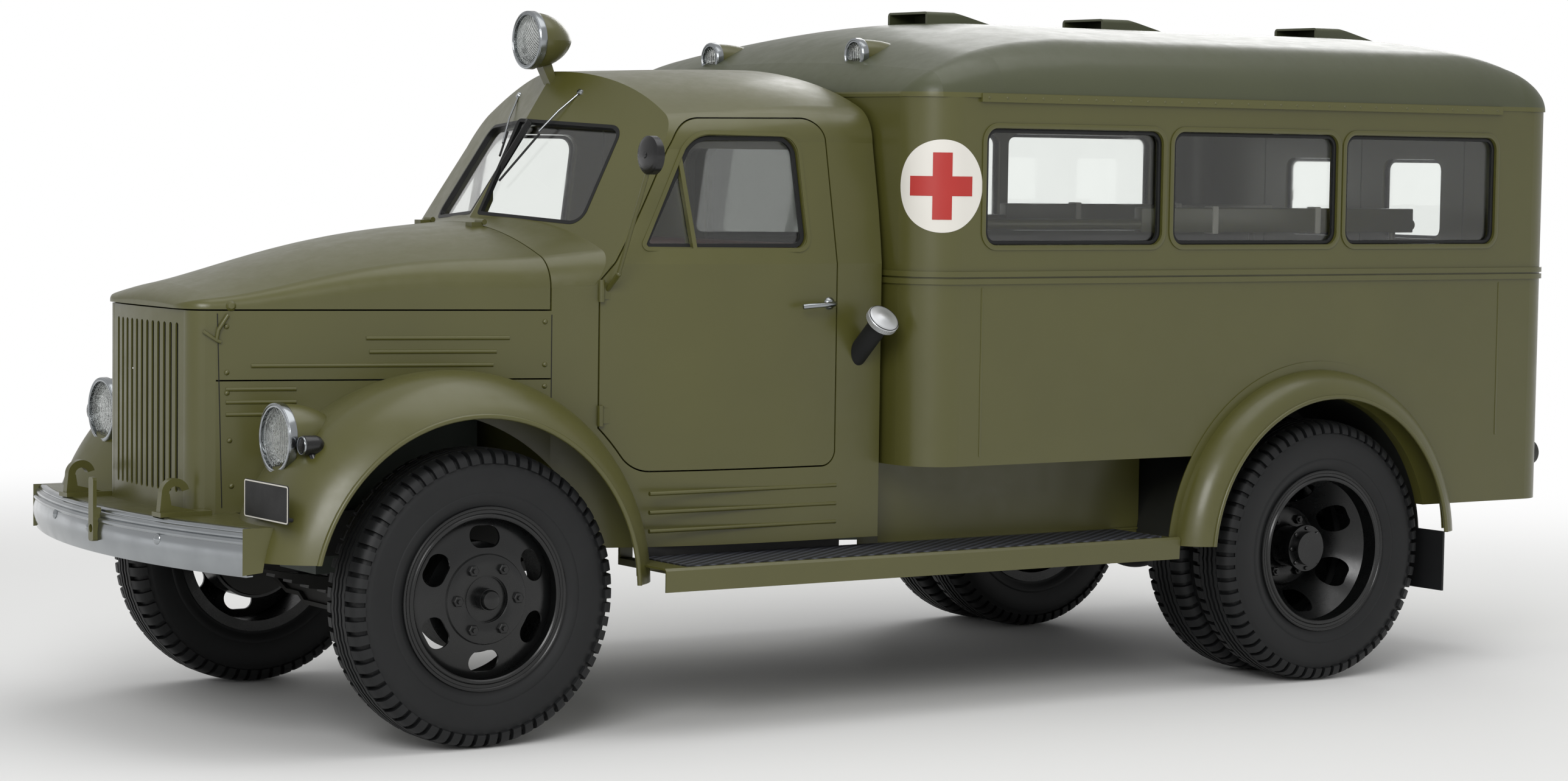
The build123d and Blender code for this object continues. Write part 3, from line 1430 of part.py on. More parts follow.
def running_board(fill):
    """Left running board on its brackets, with the skirt panel behind it."""
    top, low = BOARD_TOP, 465.0
    profile = polygon(
        (BOARD_INNER_Y, top),
        (BOARD_OUTER_Y - 8, top),
        (BOARD_OUTER_Y, top - 8),
        (BOARD_OUTER_Y, low),
        (BOARD_OUTER_Y - 5, low),
        (BOARD_OUTER_Y - 5, top - 10),
        (BOARD_OUTER_Y - 10, top - 6),
        (BOARD_INNER_Y + 5, top - 6),
        (BOARD_INNER_Y + 5, top - 45),
        (BOARD_INNER_Y, top - 45),
    )
    board = along_x(profile, BOARD_REAR_X, BOARD_FRONT_X)
    for x in BOARD_BRACKETS:
        board += block((x - 25, x + 25), (BOARD_INNER_Y, BOARD_OUTER_Y - 20), (BRACKET_Z[0], top - 6))
        board += block((x - 25, x + 25), (RAIL_OUTER_Y, BOARD_INNER_Y), BRACKET_Z)
        board += block((x - 25, x + 25), (RAIL_OUTER_Y, RAIL_OUTER_Y + 10), (BRACKET_Z[0], RAIL_TOP - 40))
    skirt = block((-2740, -1610), (SKIRT_Y - SHEET, SKIRT_Y), (top - 40, BODY_BOTTOM_Z))
    skirt += block((-1615, -1610), (SKIRT_Y - 120, SKIRT_Y), (top - 40, BODY_BOTTOM_Z))
    board += block((-2740, -1610), (SKIRT_Y, BOARD_INNER_Y), (top - 6, top))
    board += skirt
    board -= fill
    board -= disc_y(REAR_ARCH_R + SHEET + RUNNING_GAP, RAIL_OUTER_Y, BODY_HALF, REAR_ARCH_X, AXLE_Z)
    flange_r = REAR_FENDER_R + 30
    flange_y = BODY_HALF + 4
    board -= disc_y(flange_r, SKIRT_Y + PANEL_GAP, flange_y, REAR_ARCH_X, AXLE_Z)
    return board - disc_y(REAR_FENDER_R, flange_y, 1200, REAR_ARCH_X, AXLE_Z)


# Lamps

# Headlamps, roof lamps and the spot lamp: place, rim radius, bowl depth, one on each side
LAMPS = (
    ((580.0, 650.0, 958.0), 107.0, 215.0, True),
    ((-1672.0, 450.0, 2175.0), 55.0, 240.0, True),
    ((-655.0, 0.0, 2203.0), 96.0, 150.0, False),
)
RIM_DEPTH = 22.0
LENS_FLAT_R = 3.0


# Side view of the spot lamp's bracket, from the lamp's middle
SPOT_STEM = ((-20, -70), (-60, -66), (-90, -150), (-130, -160), (-130, -176), (-70, -166))
STEM_HALF = 22.0


def lamp_set(make):
    """One shape per lamp of the table, the paired ones on both sides."""
    solids = []
    for at, radius, depth, paired in LAMPS:
        solid = Pos(*at) * make(radius, depth)
        solids.append(solid)
        if paired:
            solids.append(other_side(solid))
    return solids


def seated(solids, fill, roof_fill):
    """Lamp parts in the table's order, cut by the fender or the roof that they sit on."""
    left, right, roof_left, roof_right, spot = solids
    return group(
        left - fill, right - other_side(fill), roof_left - roof_fill, roof_right - roof_fill, spot
    )


def bowl(radius, depth):
    """Round bowl that tapers to the rear, its mouth at x = 0."""
    r = radius - 4
    profile = make_face(
        [
            Line((0, 0), (0, r)),
            ThreePointArc((0, r), (-depth * 0.62, r * 0.72), (-depth, LENS_FLAT_R)),
            Line((-depth, LENS_FLAT_R), (-depth, 0)),
            Line((-depth, 0), (0, 0)),
        ]
    )
    return revolve(profile, Axis.X, revolution_arc=360)


def lamp_bowls(fill, roof_fill, cab):
    """Bowls of the headlamps, of the lamps in the roof's front and of the spot lamp."""
    solids = lamp_set(bowl)
    (x, y, z), radius, depth, paired = LAMPS[-1]
    stem = along_y(polygon(*[(x + u, z + v) for u, v in SPOT_STEM]), y - STEM_HALF, y + STEM_HALF)
    foot = Pos(x - 105, y, z - 158) * Cylinder(34, 40)
    solids[-1] = (solids[-1] + stem + foot) - cab
    return seated(solids, fill, roof_fill)


def lamp_rims(fill, roof_fill):
    """Bright rings round the lamps' glasses."""

    def rim(radius, depth):
        ring = rod((0, 0, 0), (RIM_DEPTH, 0, 0), radius)
        return ring - rod((-1, 0, 0), (RIM_DEPTH + 1, 0, 0), radius - 12)

    return seated(lamp_set(rim), fill, roof_fill)


def lamp_lenses(fill, roof_fill):
    """Domed glasses held in the rims."""

    def lens(radius, depth):
        r = radius - 12
        profile = make_face(
            [
                Line((0, 0), (0, r)),
                Line((0, r), (8, r)),
                ThreePointArc((8, r), (19, r * 0.6), (24, LENS_FLAT_R)),
                Line((24, LENS_FLAT_R), (24, 0)),
                Line((24, 0), (0, 0)),
            ]
        )
        return revolve(profile, Axis.X, revolution_arc=360)

    return seated(lamp_set(lens), fill, roof_fill)


def small_lamps(fill):
    """Side lamps beside the headlamps, and tail lamps under the rear corners."""
    side = rod((440, 770, 935), (515, 770, 935), 27) - fill
    foot = rod((460, 765, 850), (460, 768, 925), 14) - fill
    side = side + foot
    tail = rod((BODY_REAR_X, 880, 760), (BODY_REAR_X - 30, 880, 760), 45)
    return both_sides(group(side, tail))


# Knuckles, hubs, wheels and tyres

FRONT_WHEEL_Y = FRONT_TRACK / 2
SPINDLE_R = 25.0
SPINDLE_END_Y = 872.0
BACKPLATE_Y = (708.0, 714.0)
DRUM_R = 172.0
EAR_GAP = 2.0
PIN_R = 9.0


def knuckle():
    """Left steering knuckle: yoke, kingpin, spindle, back plate and steering arm."""
    low, high = BOSS_Z[0] - EAR_GAP, BOSS_Z[1] + EAR_GAP
    ear = rod((0, KINGPIN_Y, 0), (0, KINGPIN_Y, 26), BOSS_R)
    ear += block((-BOSS_R, BOSS_R), (KINGPIN_Y, BACKPLATE_Y[0]), (0, 26))
    yoke = Pos(0, 0, high) * ear + Pos(0, 0, low - 26) * ear
    yoke += block((-BOSS_R, BOSS_R), (KINGPIN_Y + BOSS_R + EAR_GAP, BACKPLATE_Y[0]), (low - 26, high + 26))
    yoke += rod((0, KINGPIN_Y, low - 10), (0, KINGPIN_Y, high + 10), KINGPIN_R)
    yoke += disc_y(DRUM_R - 12, *BACKPLATE_Y, 0, AXLE_Z)
    yoke += disc_y(SPINDLE_R, BACKPLATE_Y[0], SPINDLE_END_Y, 0, AXLE_Z)
    arm_z = low - 26
    root = -BOSS_R + 4
    arm = polygon(
        (root, KINGPIN_Y - 26),
        (root, KINGPIN_Y + 26),
        (-ARM_LENGTH, KINGPIN_Y + 16),
        (-ARM_LENGTH, KINGPIN_Y - 16),
    )
    yoke += along_z(arm, arm_z, arm_z + 22)
    yoke += rod((-ARM_LENGTH, KINGPIN_Y, arm_z), (-ARM_LENGTH, KINGPIN_Y, arm_z + 22), 20)
    yoke += rod((-ARM_LENGTH, KINGPIN_Y, arm_z - 34), (-ARM_LENGTH, KINGPIN_Y, arm_z), PIN_R)
    return yoke


def tie_rod():
    """Rod behind the axle that joins the two steering arms."""
    arm_z = BOSS_Z[0] - EAR_GAP - 26
    z = arm_z - 17
    bar = rod((-ARM_LENGTH, -KINGPIN_Y + 18, z), (-ARM_LENGTH, KINGPIN_Y - 18, z), 13)
    for y in (-KINGPIN_Y, KINGPIN_Y):
        bar += rod((-ARM_LENGTH, y, z - 15), (-ARM_LENGTH, y, z + 15), 22)
    for y in (-KINGPIN_Y, KINGPIN_Y):
        bar -= rod((-ARM_LENGTH, y, z - 40), (-ARM_LENGTH, y, z + 40), PIN_R + RUNNING_GAP)
    return bar


RIM_HALF = 78.0
RIM_FLANGE_R = 285.0


def tyre(y):
    """Plain tyre out to its lugs' tips, hollow like the real casing and open to the rim."""
    r, half = TYRE_RADIUS, TYRE_WIDTH / 2
    bead = RIM_RADIUS + 0.2
    seat = RIM_HALF + 3
    toe = seat - 32
    outer = [
        Line((y - half + 17, r - 3), (y - half + 8, r - 12)),
        ThreePointArc((y - half + 8, r - 12), (y - half, r - 95), (y - half + 14, r - 165)),
        Line((y - half + 14, r - 165), (y - seat, RIM_FLANGE_R + 4)),
        Line((y - seat, RIM_FLANGE_R + 4), (y - seat, bead)),
        Line((y - seat, bead), (y - toe, bead)),
        ThreePointArc((y - toe, bead), (y - half + 16, r - 95), (y - half + 46, r - 26)),
        Line((y - half + 46, r - 26), (y + half - 46, r - 26)),
        ThreePointArc((y + half - 46, r - 26), (y + half - 16, r - 95), (y + toe, bead)),
        Line((y + toe, bead), (y + seat, bead)),
        Line((y + seat, bead), (y + seat, RIM_FLANGE_R + 4)),
        Line((y + seat, RIM_FLANGE_R + 4), (y + half - 14, r - 165)),
        ThreePointArc((y + half - 14, r - 165), (y + half, r - 95), (y + half - 8, r - 12)),
        Line((y + half - 8, r - 12), (y + half - 17, r - 3)),
        ThreePointArc((y + half - 17, r - 3), (y, r), (y - half + 17, r - 3)),
    ]
    section = Plane.XY * make_face(outer)
    upright = Plane.YZ * section
    return revolve(upright, Axis.Y, revolution_arc=360)


HAND_HOLES = 6
HAND_HOLE_R = 192.0


def rim_section(y):
    """Rim with a flange each side, in (y, radius)."""
    r = RIM_RADIUS
    wall = 6.0
    return polygon(
        (y - RIM_HALF - 10, RIM_FLANGE_R),
        (y - RIM_HALF - 10, r - wall),
        (y + RIM_HALF + 10, r - wall),
        (y + RIM_HALF + 10, RIM_FLANGE_R),
        (y + RIM_HALF + 3, RIM_FLANGE_R),
        (y + RIM_HALF + 3, r),
        (y - RIM_HALF - 3, r),
        (y - RIM_HALF - 3, RIM_FLANGE_R),
    )


def disc_section(nave_y, edge_y, out):
    """Dished wheel disc in (y, radius); out is +1 when its face looks away from the truck."""
    wall = 8.0 * out
    mid_y = (nave_y + edge_y) / 2 + 6 * out
    return make_face(
        [
            Line((nave_y, 70), (nave_y, 140)),
            ThreePointArc((nave_y, 140), (mid_y, 196), (edge_y, RIM_RADIUS - 6)),
            Line((edge_y, RIM_RADIUS - 6), (edge_y - wall, RIM_RADIUS - 6)),
            ThreePointArc((edge_y - wall, RIM_RADIUS - 6), (mid_y - wall, 194), (nave_y - wall, 140)),
            Line((nave_y - wall, 140), (nave_y - wall, 70)),
            Line((nave_y - wall, 70), (nave_y, 70)),
        ]
    )


def spun(section):
    """A (y, radius) section turned round the Y axis."""
    return revolve(Plane.YZ * section, Axis.Y, revolution_arc=360)


def hand_holes(y0, y1):
    holes = None
    for n in range(HAND_HOLES):
        angle = 360 / HAND_HOLES * (n + 0.5)
        hole = along_y(
            Rot(0, 0, angle) * (Pos(HAND_HOLE_R, 0) * SlotOverall(105, 68, rotation=90)), y0, y1
        )
        holes = hole if holes is None else holes + hole
    return holes


def front_wheel():
    """Front rim and outward-dished disc on the hub with its brake drum."""
    y = FRONT_WHEEL_Y
    nave_y = 884.0
    wheel = spun(rim_section(y)) + (spun(disc_section(nave_y, 852.0, 1)) - hand_holes(780, 900))
    hub_bore = SPINDLE_R + RUNNING_GAP
    hub = disc_y(62, 735, nave_y - 8) + disc_y(150, nave_y - 16, nave_y - 8)
    hub += disc_y(34, nave_y - 10, nave_y + 24)
    drum = disc_y(DRUM_R, 720, nave_y - 60) - disc_y(DRUM_R - 9, 719, nave_y - 70)
    hub += drum
    hub -= disc_y(hub_bore, 700, SPINDLE_END_Y + 6)
    return wheel + hub


def rear_wheels():
    """Twin rear rims, their discs back to back on the hub, with the brake drum."""
    nave = REAR_TRACK / 2
    outer_y = nave + TWIN_SPACING / 2
    inner_y = nave - TWIN_SPACING / 2
    outer_disc = spun(disc_section(nave + 8, outer_y + 30, 1)) - hand_holes(nave - 5, nave + 200)
    inner_disc = spun(disc_section(nave - 8, inner_y - 30, -1)) - hand_holes(nave - 200, nave + 5)
    wheels = spun(rim_section(outer_y)) + outer_disc
    wheels += spun(rim_section(inner_y)) + inner_disc
    hub = disc_y(72, REAR_DRUM_INNER_Y + 20, nave + 125)
    hub += disc_y(60, nave + 120, nave + 150) + disc_y(82, nave + 108, nave + 126)
    drum = disc_y(DRUM_R, REAR_DRUM_INNER_Y, nave - 60) - disc_y(DRUM_R - 9, REAR_DRUM_INNER_Y - 1, nave - 72)
    hub += drum
    hub -= disc_y(REAR_SPINDLE_R + RUNNING_GAP, REAR_DRUM_INNER_Y - 30, nave + 30)
    return wheels + hub


def at_axle(shape, x):
    return Pos(x, 0, AXLE_Z) * shape


# Assembly


def build():
    """Every node by name."""
    cab = cab_form(0)
    space = bumper_space()
    arch_left = disc_y(ARCH_R, 430, 1200, ARCH_X, AXLE_Z)
    arch = arch_left + other_side(arch_left)
    bay = along_z(bay_plan(0), 200, 1700) + along_z(shell_plan(0), 200, 1700)
    fender = front_fender(bay, cab)
    fill = fender_fill()
    roof_fill = roof_form(0)
    inside = cab_inside()
    inner_hull = cab_hull(CAB_WALL)
    shell = cab_shell(cab, inside, arch)
    roof, floor, front, rear = cab_panels(shell)
    body_front, body_sides, body_rear = body_panels(body_shell())
    panel = dashboard(inside)
    door = cab_door(cab, inner_hull)
    glass = door_glass()
    leaf = rear_door()
    leaf_glass = rear_door_glass()
    steer = knuckle()
    front_tyre = at_axle(tyre(FRONT_WHEEL_Y), 0)
    front_disc = at_axle(front_wheel(), 0)
    outer_y = REAR_TRACK / 2 + TWIN_SPACING / 2
    inner_y = REAR_TRACK / 2 - TWIN_SPACING / 2
    rear_tyres = at_axle(group(tyre(outer_y), tyre(inner_y)), REAR_AXLE_X)
    rear_discs = at_axle(rear_wheels(), REAR_AXLE_X)
    board = running_board(fill)
    flap = mud_flap()
    return {
        "frame_rails": frame_rails(space),
        "crossmembers": crossmembers(space),
        "leaf_springs": leaf_springs(),
        "front_axle": front_axle(),
        "rear_axle": rear_axle(),
        "driveline": driveline(),
        "exhaust": exhaust(),
        "bumper": bumper(),
        "tow_hooks": tow_hooks(),
        "front_apron": front_apron(space, fill),
        "radiator_shell": radiator_shell(),
        "radiator_core": radiator_core(),
        "hood_side_panels": hood_side_panels(arch),
        "hood": hood(),
        "front_fenders": both_sides(fender),
        "cab_front": front,
        "cab_rear": rear,
        "cab_roof": roof,
        "cab_floor": floor,
        "cab_glass": cab_glass(),
        "dashboard": panel,
        "steering_wheel": steering_wheel(panel),
        "cab_seat": cab_seat(),
        "cab_door_left": door,
        "cab_door_right": other_side(door),
        "door_glass_left": glass,
        "door_glass_right": other_side(glass),
        "door_mirror": door_mirror(),
        "fuel_filler": fuel_filler(cab),
        "running_boards": both_sides(board),
        "body_front": body_front,
        "body_sides": body_sides,
        "body_rear": body_rear,
        "body_floor": body_floor(),
        "body_roof": body_roof(),
        "body_glass": body_glass(),
        "roof_vents": roof_vents(roof_fill),
        "stretchers": stretchers(),
        "rear_fenders": both_sides(rear_fender()),
        "mud_flaps": both_sides(flap),
        "rear_door_left": leaf,
        "rear_door_right": other_side(leaf),
        "rear_door_glass_left": leaf_glass,
        "rear_door_glass_right": other_side(leaf_glass),
        "lamp_bowls": lamp_bowls(fill, roof_fill, cab),
        "lamp_rims": lamp_rims(fill, roof_fill),
        "lamp_lenses": lamp_lenses(fill, roof_fill),
        "small_lamps": small_lamps(fill),
        "knuckle_left": steer,
        "knuckle_right": other_side(steer),
        "tie_rod": tie_rod(),
        "tyre_front_left": front_tyre,
        "tyre_front_right": other_side(front_tyre),
        "wheel_front_left": front_disc,
        "wheel_front_right": other_side(front_disc),
        "tyres_rear_left": rear_tyres,
        "tyres_rear_right": other_side(rear_tyres),
        "wheels_rear_left": rear_discs,
        "wheels_rear_right": other_side(rear_discs),
    }


os.makedirs("parts", exist_ok=True)
shift = (FRONT_OVERHANG + WHEELBASE + REAR_OVERHANG) / 2 - FRONT_OVERHANG
for node, shape in build().items():
    export_step(Pos(shift, 0, 0) * shape, f"parts/{node}.step")
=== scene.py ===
"""Military ambulance truck: paint, tyres, glass, lamps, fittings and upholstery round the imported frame.

Metres in the frame of the part. Places are given in millimetres from the front axle, as on the
truck's drawing, and the function at() turns them to metres.
"""

import math

import bpy
from mathutils import Matrix, Vector


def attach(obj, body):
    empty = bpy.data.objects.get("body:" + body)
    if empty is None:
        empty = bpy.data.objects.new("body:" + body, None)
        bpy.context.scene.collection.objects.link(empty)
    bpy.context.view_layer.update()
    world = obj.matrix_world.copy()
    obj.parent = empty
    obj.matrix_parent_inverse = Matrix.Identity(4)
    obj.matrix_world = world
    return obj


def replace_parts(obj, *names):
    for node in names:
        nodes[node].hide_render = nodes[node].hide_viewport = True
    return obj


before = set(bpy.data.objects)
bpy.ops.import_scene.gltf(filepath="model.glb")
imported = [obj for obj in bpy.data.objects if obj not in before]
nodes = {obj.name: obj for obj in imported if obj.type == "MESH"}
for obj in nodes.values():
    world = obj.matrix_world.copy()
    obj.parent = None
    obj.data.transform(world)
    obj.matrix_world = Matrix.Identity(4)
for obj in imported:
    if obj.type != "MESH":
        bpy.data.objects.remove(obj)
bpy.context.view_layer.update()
bpy.ops.object.select_all(action="DESELECT")


# Camera: the place and turn that the truck's own wheels, lamps and panel lines give.
# A long lens from the front left, level with the windscreen and turned down a little.
AXLE_TO_MIDDLE = 1.8075
CAMERA_PLACE = (5384.104, 10456.620, 1830.507)
YAW, PITCH, ROLL = math.radians(-124.0777), math.radians(-3.7380), math.radians(0.8084)
PHOTO_WIDTH = 2576
FOCAL_PIXELS = 5906.357


def at(x, y, z):
    """Millimetres from the front axle, as metres in the frame of the part."""
    return Vector((x / 1000 + AXLE_TO_MIDDLE, y / 1000, z / 1000))


camera_data = bpy.data.cameras.new("photo_camera")
camera_data.sensor_width = 36.0
camera_data.lens = FOCAL_PIXELS * camera_data.sensor_width / PHOTO_WIDTH
camera_data.clip_end = 300
camera = bpy.data.objects.new("photo_camera", camera_data)
bpy.context.scene.collection.objects.link(camera)
look = Vector((math.cos(PITCH) * math.cos(YAW), math.cos(PITCH) * math.sin(YAW), math.sin(PITCH)))
level = look.cross(Vector((0, 0, 1))).normalized()
upright = level.cross(look)
to_right = math.cos(ROLL) * level + math.sin(ROLL) * upright
to_top = math.cos(ROLL) * upright - math.sin(ROLL) * level
camera_turn = Matrix((to_right, to_top, -look)).transposed().to_4x4()
camera.matrix_world = Matrix.Translation(at(*CAMERA_PLACE)) @ camera_turn
bpy.context.scene.camera = camera
bpy.context.scene.view_settings.view_transform = "Standard"


# Studio: a matt pale floor that goes over to the white of the backdrop, three large soft lamps
# and an even sky. The lamps stand at a level at which paint shows as its own colour.
FLOOR_FADE = (4.2, 9.0)
SKY_LIGHT = 0.62
LAMPS_LOOK_AT = Vector((0, 0, 0.9))
# Columns: name, place, size and power
LAMPS = (
    ("softbox_front_left", (8.0, 8.5, 6.5), 5.0, 620.0),
    ("softbox_above", (-1.0, 1.5, 8.5), 7.0, 210.0),
    ("softbox_rear_right", (-8.0, -7.0, 5.0), 5.0, 260.0),
)


def linear(colour):
    """An sRGB hex colour as linear RGBA."""
    parts = [int(colour[i : i + 2], 16) / 255 for i in (1, 3, 5)]
    return [c / 12.92 if c <= 0.04045 else ((c + 0.055) / 1.055) ** 2.4 for c in parts] + [1.0]


def add(tree, kind, inputs=(), **settings):
    """Adds a node, sets its properties, and sets or links its inputs.

    The inputs are a row in the node's own order, or a dictionary by name or number. A hex colour
    is turned to linear, and a node is linked from the first output that it has in use.
    """
    made = tree.nodes.new("ShaderNode" + kind)
    for name, value in settings.items():
        setattr(made, name, value)
    for name, value in inputs.items() if isinstance(inputs, dict) else enumerate(inputs):
        if isinstance(value, bpy.types.Node):
            value = next(output for output in value.outputs if output.enabled)
        if isinstance(value, bpy.types.NodeSocket):
            tree.links.new(value, made.inputs[name])
        else:
            made.inputs[name].default_value = linear(value) if isinstance(value, str) else value
    return made


def blank_material(name):
    """A material, its empty node tree, and the place on the piece that its patterns follow."""
    material = bpy.data.materials.new(name)
    material.use_nodes = True
    tree = material.node_tree
    tree.nodes.clear()
    return material, tree, add(tree, "TexCoord").outputs["Object"]


def surfaced(material, inputs):
    """Ends a material's tree with its shader and its output, and gives the material back."""
    shader = add(material.node_tree, "BsdfPrincipled", inputs)
    add(material.node_tree, "OutputMaterial", {"Surface": shader})
    return material


def patterned(material, share, colours, relief, inputs):
    """Ends a material with two colours mixed by a share, and a bump (height, strength, distance)."""
    tone = add(material.node_tree, "Mix", {0: share, 6: colours[0], 7: colours[1]}, data_type="RGBA")
    bump = add(material.node_tree, "Bump", dict(zip(("Height", "Strength", "Distance"), relief)))
    return surfaced(material, {"Base Color": tone, "Normal": bump} | inputs)


world = bpy.data.worlds.new("even_sky")
bpy.context.scene.world = world
world.use_nodes = True
sky = world.node_tree
sky.nodes.clear()
ray = add(sky, "LightPath").outputs
seen = add(sky, "Math", (ray["Is Camera Ray"], ray["Is Transmission Ray"]), operation="MAXIMUM")
strength = add(sky, "MapRange", {"Value": seen, "To Min": SKY_LIGHT, "To Max": 1.0})
backing = add(sky, "Background", {"Color": (1, 1, 1, 1), "Strength": strength})
add(sky, "OutputWorld", {"Surface": backing})

for name, place, size, power in LAMPS:
    lamp_data = bpy.data.lights.new(name, "AREA")
    lamp_data.size = size
    lamp_data.energy = power
    lamp = bpy.data.objects.new(name, lamp_data)
    lamp.location = place
    lamp.rotation_mode = "QUATERNION"
    lamp.rotation_quaternion = (LAMPS_LOOK_AT - Vector(place)).to_track_quat("-Z", "Y")
    bpy.context.scene.collection.objects.link(lamp)

floor_material, tree, place = blank_material("matt_studio_floor")
ray = add(tree, "LightPath").outputs
reach = add(tree, "VectorMath", (place,), operation="LENGTH")
fade = add(tree, "MapRange", (reach, *FLOOR_FADE), interpolation_type="SMOOTHSTEP")
looked_at = add(tree, "Math", (ray["Is Camera Ray"], ray["Is Glossy Ray"]), operation="MAXIMUM")
through = add(tree, "Math", (looked_at, ray["Is Transmission Ray"]), operation="MAXIMUM")
share = add(tree, "Math", (fade, through), operation="MULTIPLY")
matt = add(tree, "BsdfPrincipled", {"Base Color": "#e9e9e8", "Roughness": 0.9})
white = add(tree, "Emission", {"Color": (1, 1, 1, 1), "Strength": 1.0})
add(tree, "OutputMaterial", {"Surface": add(tree, "MixShader", (share, matt, white))})
bpy.ops.mesh.primitive_grid_add(x_subdivisions=8, y_subdivisions=8, size=120, location=(0, 0, -0.001))
studio_floor = bpy.context.object
studio_floor.name = "studio_floor"
studio_floor.data.materials.append(floor_material)


# Sheet metal of body, cab, bonnet and fenders: pressed steel sprayed with olive enamel.
# The coat is satin with a faint orange peel, a shade deeper in places, and dusty near the road.
OLIVE = "#504f22"
OLIVE_DEEP = "#47461d"
OLIVE_DUST = "#66623f"
ROOF_FOOT_HEIGHT = 2.046


def coated(name, colour, deep, dust, roughness, peel=0.25, coat=0.0, foot=None):
    """Sprayed enamel on metal: cloudy colour, road dust low down and orange peel.

    foot is (height in metres, colour) of a second colour from there down.
    """
    material, tree, place = blank_material(name)
    # Clouds about 40 cm across, from the spray gun's passes
    cloud = add(tree, "TexNoise", {"Vector": place, "Scale": 2.5, "Detail": 3.0})
    paint = add(tree, "Mix", {0: cloud, 6: colour, 7: deep}, data_type="RGBA")
    height = add(tree, "SeparateXYZ", (place,)).outputs["Z"]
    if foot:
        above = add(tree, "Math", (height, foot[0]), operation="GREATER_THAN")
        paint = add(tree, "Mix", {0: above, 6: foot[1], 7: paint}, data_type="RGBA")
    # Dust goes from a third of the cover at 25 cm to next to none at 95 cm
    low = add(tree, "MapRange", (height, 0.25, 0.95, 0.34, 0.03))
    # Dust lies in patches about 8 cm across
    patch = add(tree, "TexNoise", {"Vector": place, "Scale": 12.0, "Detail": 6.0, "Roughness": 0.7})
    laid = add(tree, "Math", (low, patch), operation="MULTIPLY")
    sheen = add(tree, "MapRange", (patch, 0.3, 0.7, roughness - 0.05, roughness + 0.08))
    # Orange peel about 3 mm across
    pebble = add(tree, "TexNoise", {"Vector": place, "Scale": 320.0, "Detail": 1.0})
    inputs = {"Roughness": sheen, "Coat Weight": coat, "Coat Roughness": 0.22}
    return patterned(material, laid, (paint, dust), (pebble, peel, 0.0002), inputs)


def cover(material, *names):
    """Gives CAD nodes their material."""
    for name in names:
        nodes[name].data.materials.clear()
        nodes[name].data.materials.append(material)


olive_enamel = coated("olive_enamel_on_steel", OLIVE, OLIVE_DEEP, OLIVE_DUST, 0.36, coat=0.25)
olive_look = (olive_enamel, "olive_paint")
cover(
    olive_enamel,
    "front_apron", "radiator_shell", "hood_side_panels", "hood", "front_fenders", "cab_front", "cab_rear",
    "cab_roof", "cab_floor", "running_boards", "body_front", "body_sides", "body_rear", "rear_fenders",
    "lamp_bowls", "cab_door_left", "cab_door_right", "rear_door_left", "rear_door_right", "tow_hooks",
    "door_mirror",
)
roof_foot = (ROOF_FOOT_HEIGHT, OLIVE)
roof_enamel = coated("dull_roof_enamel", "#45492f", "#3c402a", "#5c5b44", 0.46, coat=0.2, foot=roof_foot)
cover(roof_enamel, "body_roof", "roof_vents")


# Chassis: rolled channels, forged axles and leaf springs under thin black frame paint.
# Road dust dulls it, and the castings of engine and gearbox are left grey-green.
frame_paint = coated("black_frame_paint", "#17181a", "#101112", "#4a463c", 0.5)
cover(
    frame_paint,
    "frame_rails", "crossmembers", "leaf_springs", "front_axle", "rear_axle", "exhaust", "knuckle_left",
    "knuckle_right", "tie_rod",
)
sand_cast_iron = coated("grey_green_cast_iron", "#4e5650", "#3c433f", "#5c584c", 0.62, peel=0.9)
cover(sand_cast_iron, "driveline")
instrument_enamel = coated("dark_instrument_enamel", "#2c2d27", "#232420", "#2c2d27", 0.42)
cover(instrument_enamel, "dashboard", "small_lamps")
wheel_enamel = coated("black_wheel_enamel", "#0b0c0d", "#070808", "#11110f", 0.27)
wheel_look = (wheel_enamel, "chassis_paint")
cover(wheel_enamel, "wheel_front_left", "wheel_front_right", "wheels_rear_left", "wheels_rear_right")
moulded_black = coated("moulded_black_plastic", "#121213", "#0c0c0d", "#121213", 0.25)
cover(moulded_black, "steering_wheel")


# Radiator block behind the slots: brass fins dipped in black.
# The upright fins are drawn 6 mm apart, twice their real spacing, so that they show.
core_material, tree, place = blank_material("finned_radiator_core")
fins = add(tree, "TexWave", {"Vector": place, "Scale": 50.0, "Distortion": 0.2}, bands_direction="Y")
core_inputs = {"Roughness": 0.55, "Metallic": 0.4}
patterned(core_material, fins, ("#0c0d0d", "#2b2a27"), (fins, 0.8, 0.002), core_inputs)
cover(core_material, "radiator_core")


# Bumper and lamp rims: pressed steel, nickel plated and polished.
# Fine polishing lines run along it, and they soften what it reflects.
def polished(name, colour, roughness, line_scale, metal=1.0):
    """Polished or brushed metal with fine lines along the truck's width."""
    material, tree, place = blank_material(name)
    line_scales = (line_scale, line_scale * 0.05, line_scale)
    stretch = add(tree, "Mapping", {"Vector": place, "Scale": line_scales})
    lines = add(tree, "TexNoise", {"Vector": stretch, "Scale": 1.0, "Detail": 4.0})
    film = add(tree, "TexNoise", {"Vector": place, "Scale": 9.0, "Detail": 4.0})
    gloss = add(tree, "MapRange", (film, 0.3, 0.7, roughness, roughness + 0.14))
    deep = [part * 0.75 for part in linear(colour)[:3]] + [1.0]
    inputs = {"Metallic": metal, "Roughness": gloss}
    return patterned(material, film, (colour, deep), (lines, 0.03, 0.0001), inputs)


plated_steel = polished("polished_plated_steel", "#a4a8ab", 0.12, 900.0)
plated_look = (plated_steel, "bright_metal")
cover(plated_steel, "bumper", "lamp_rims")


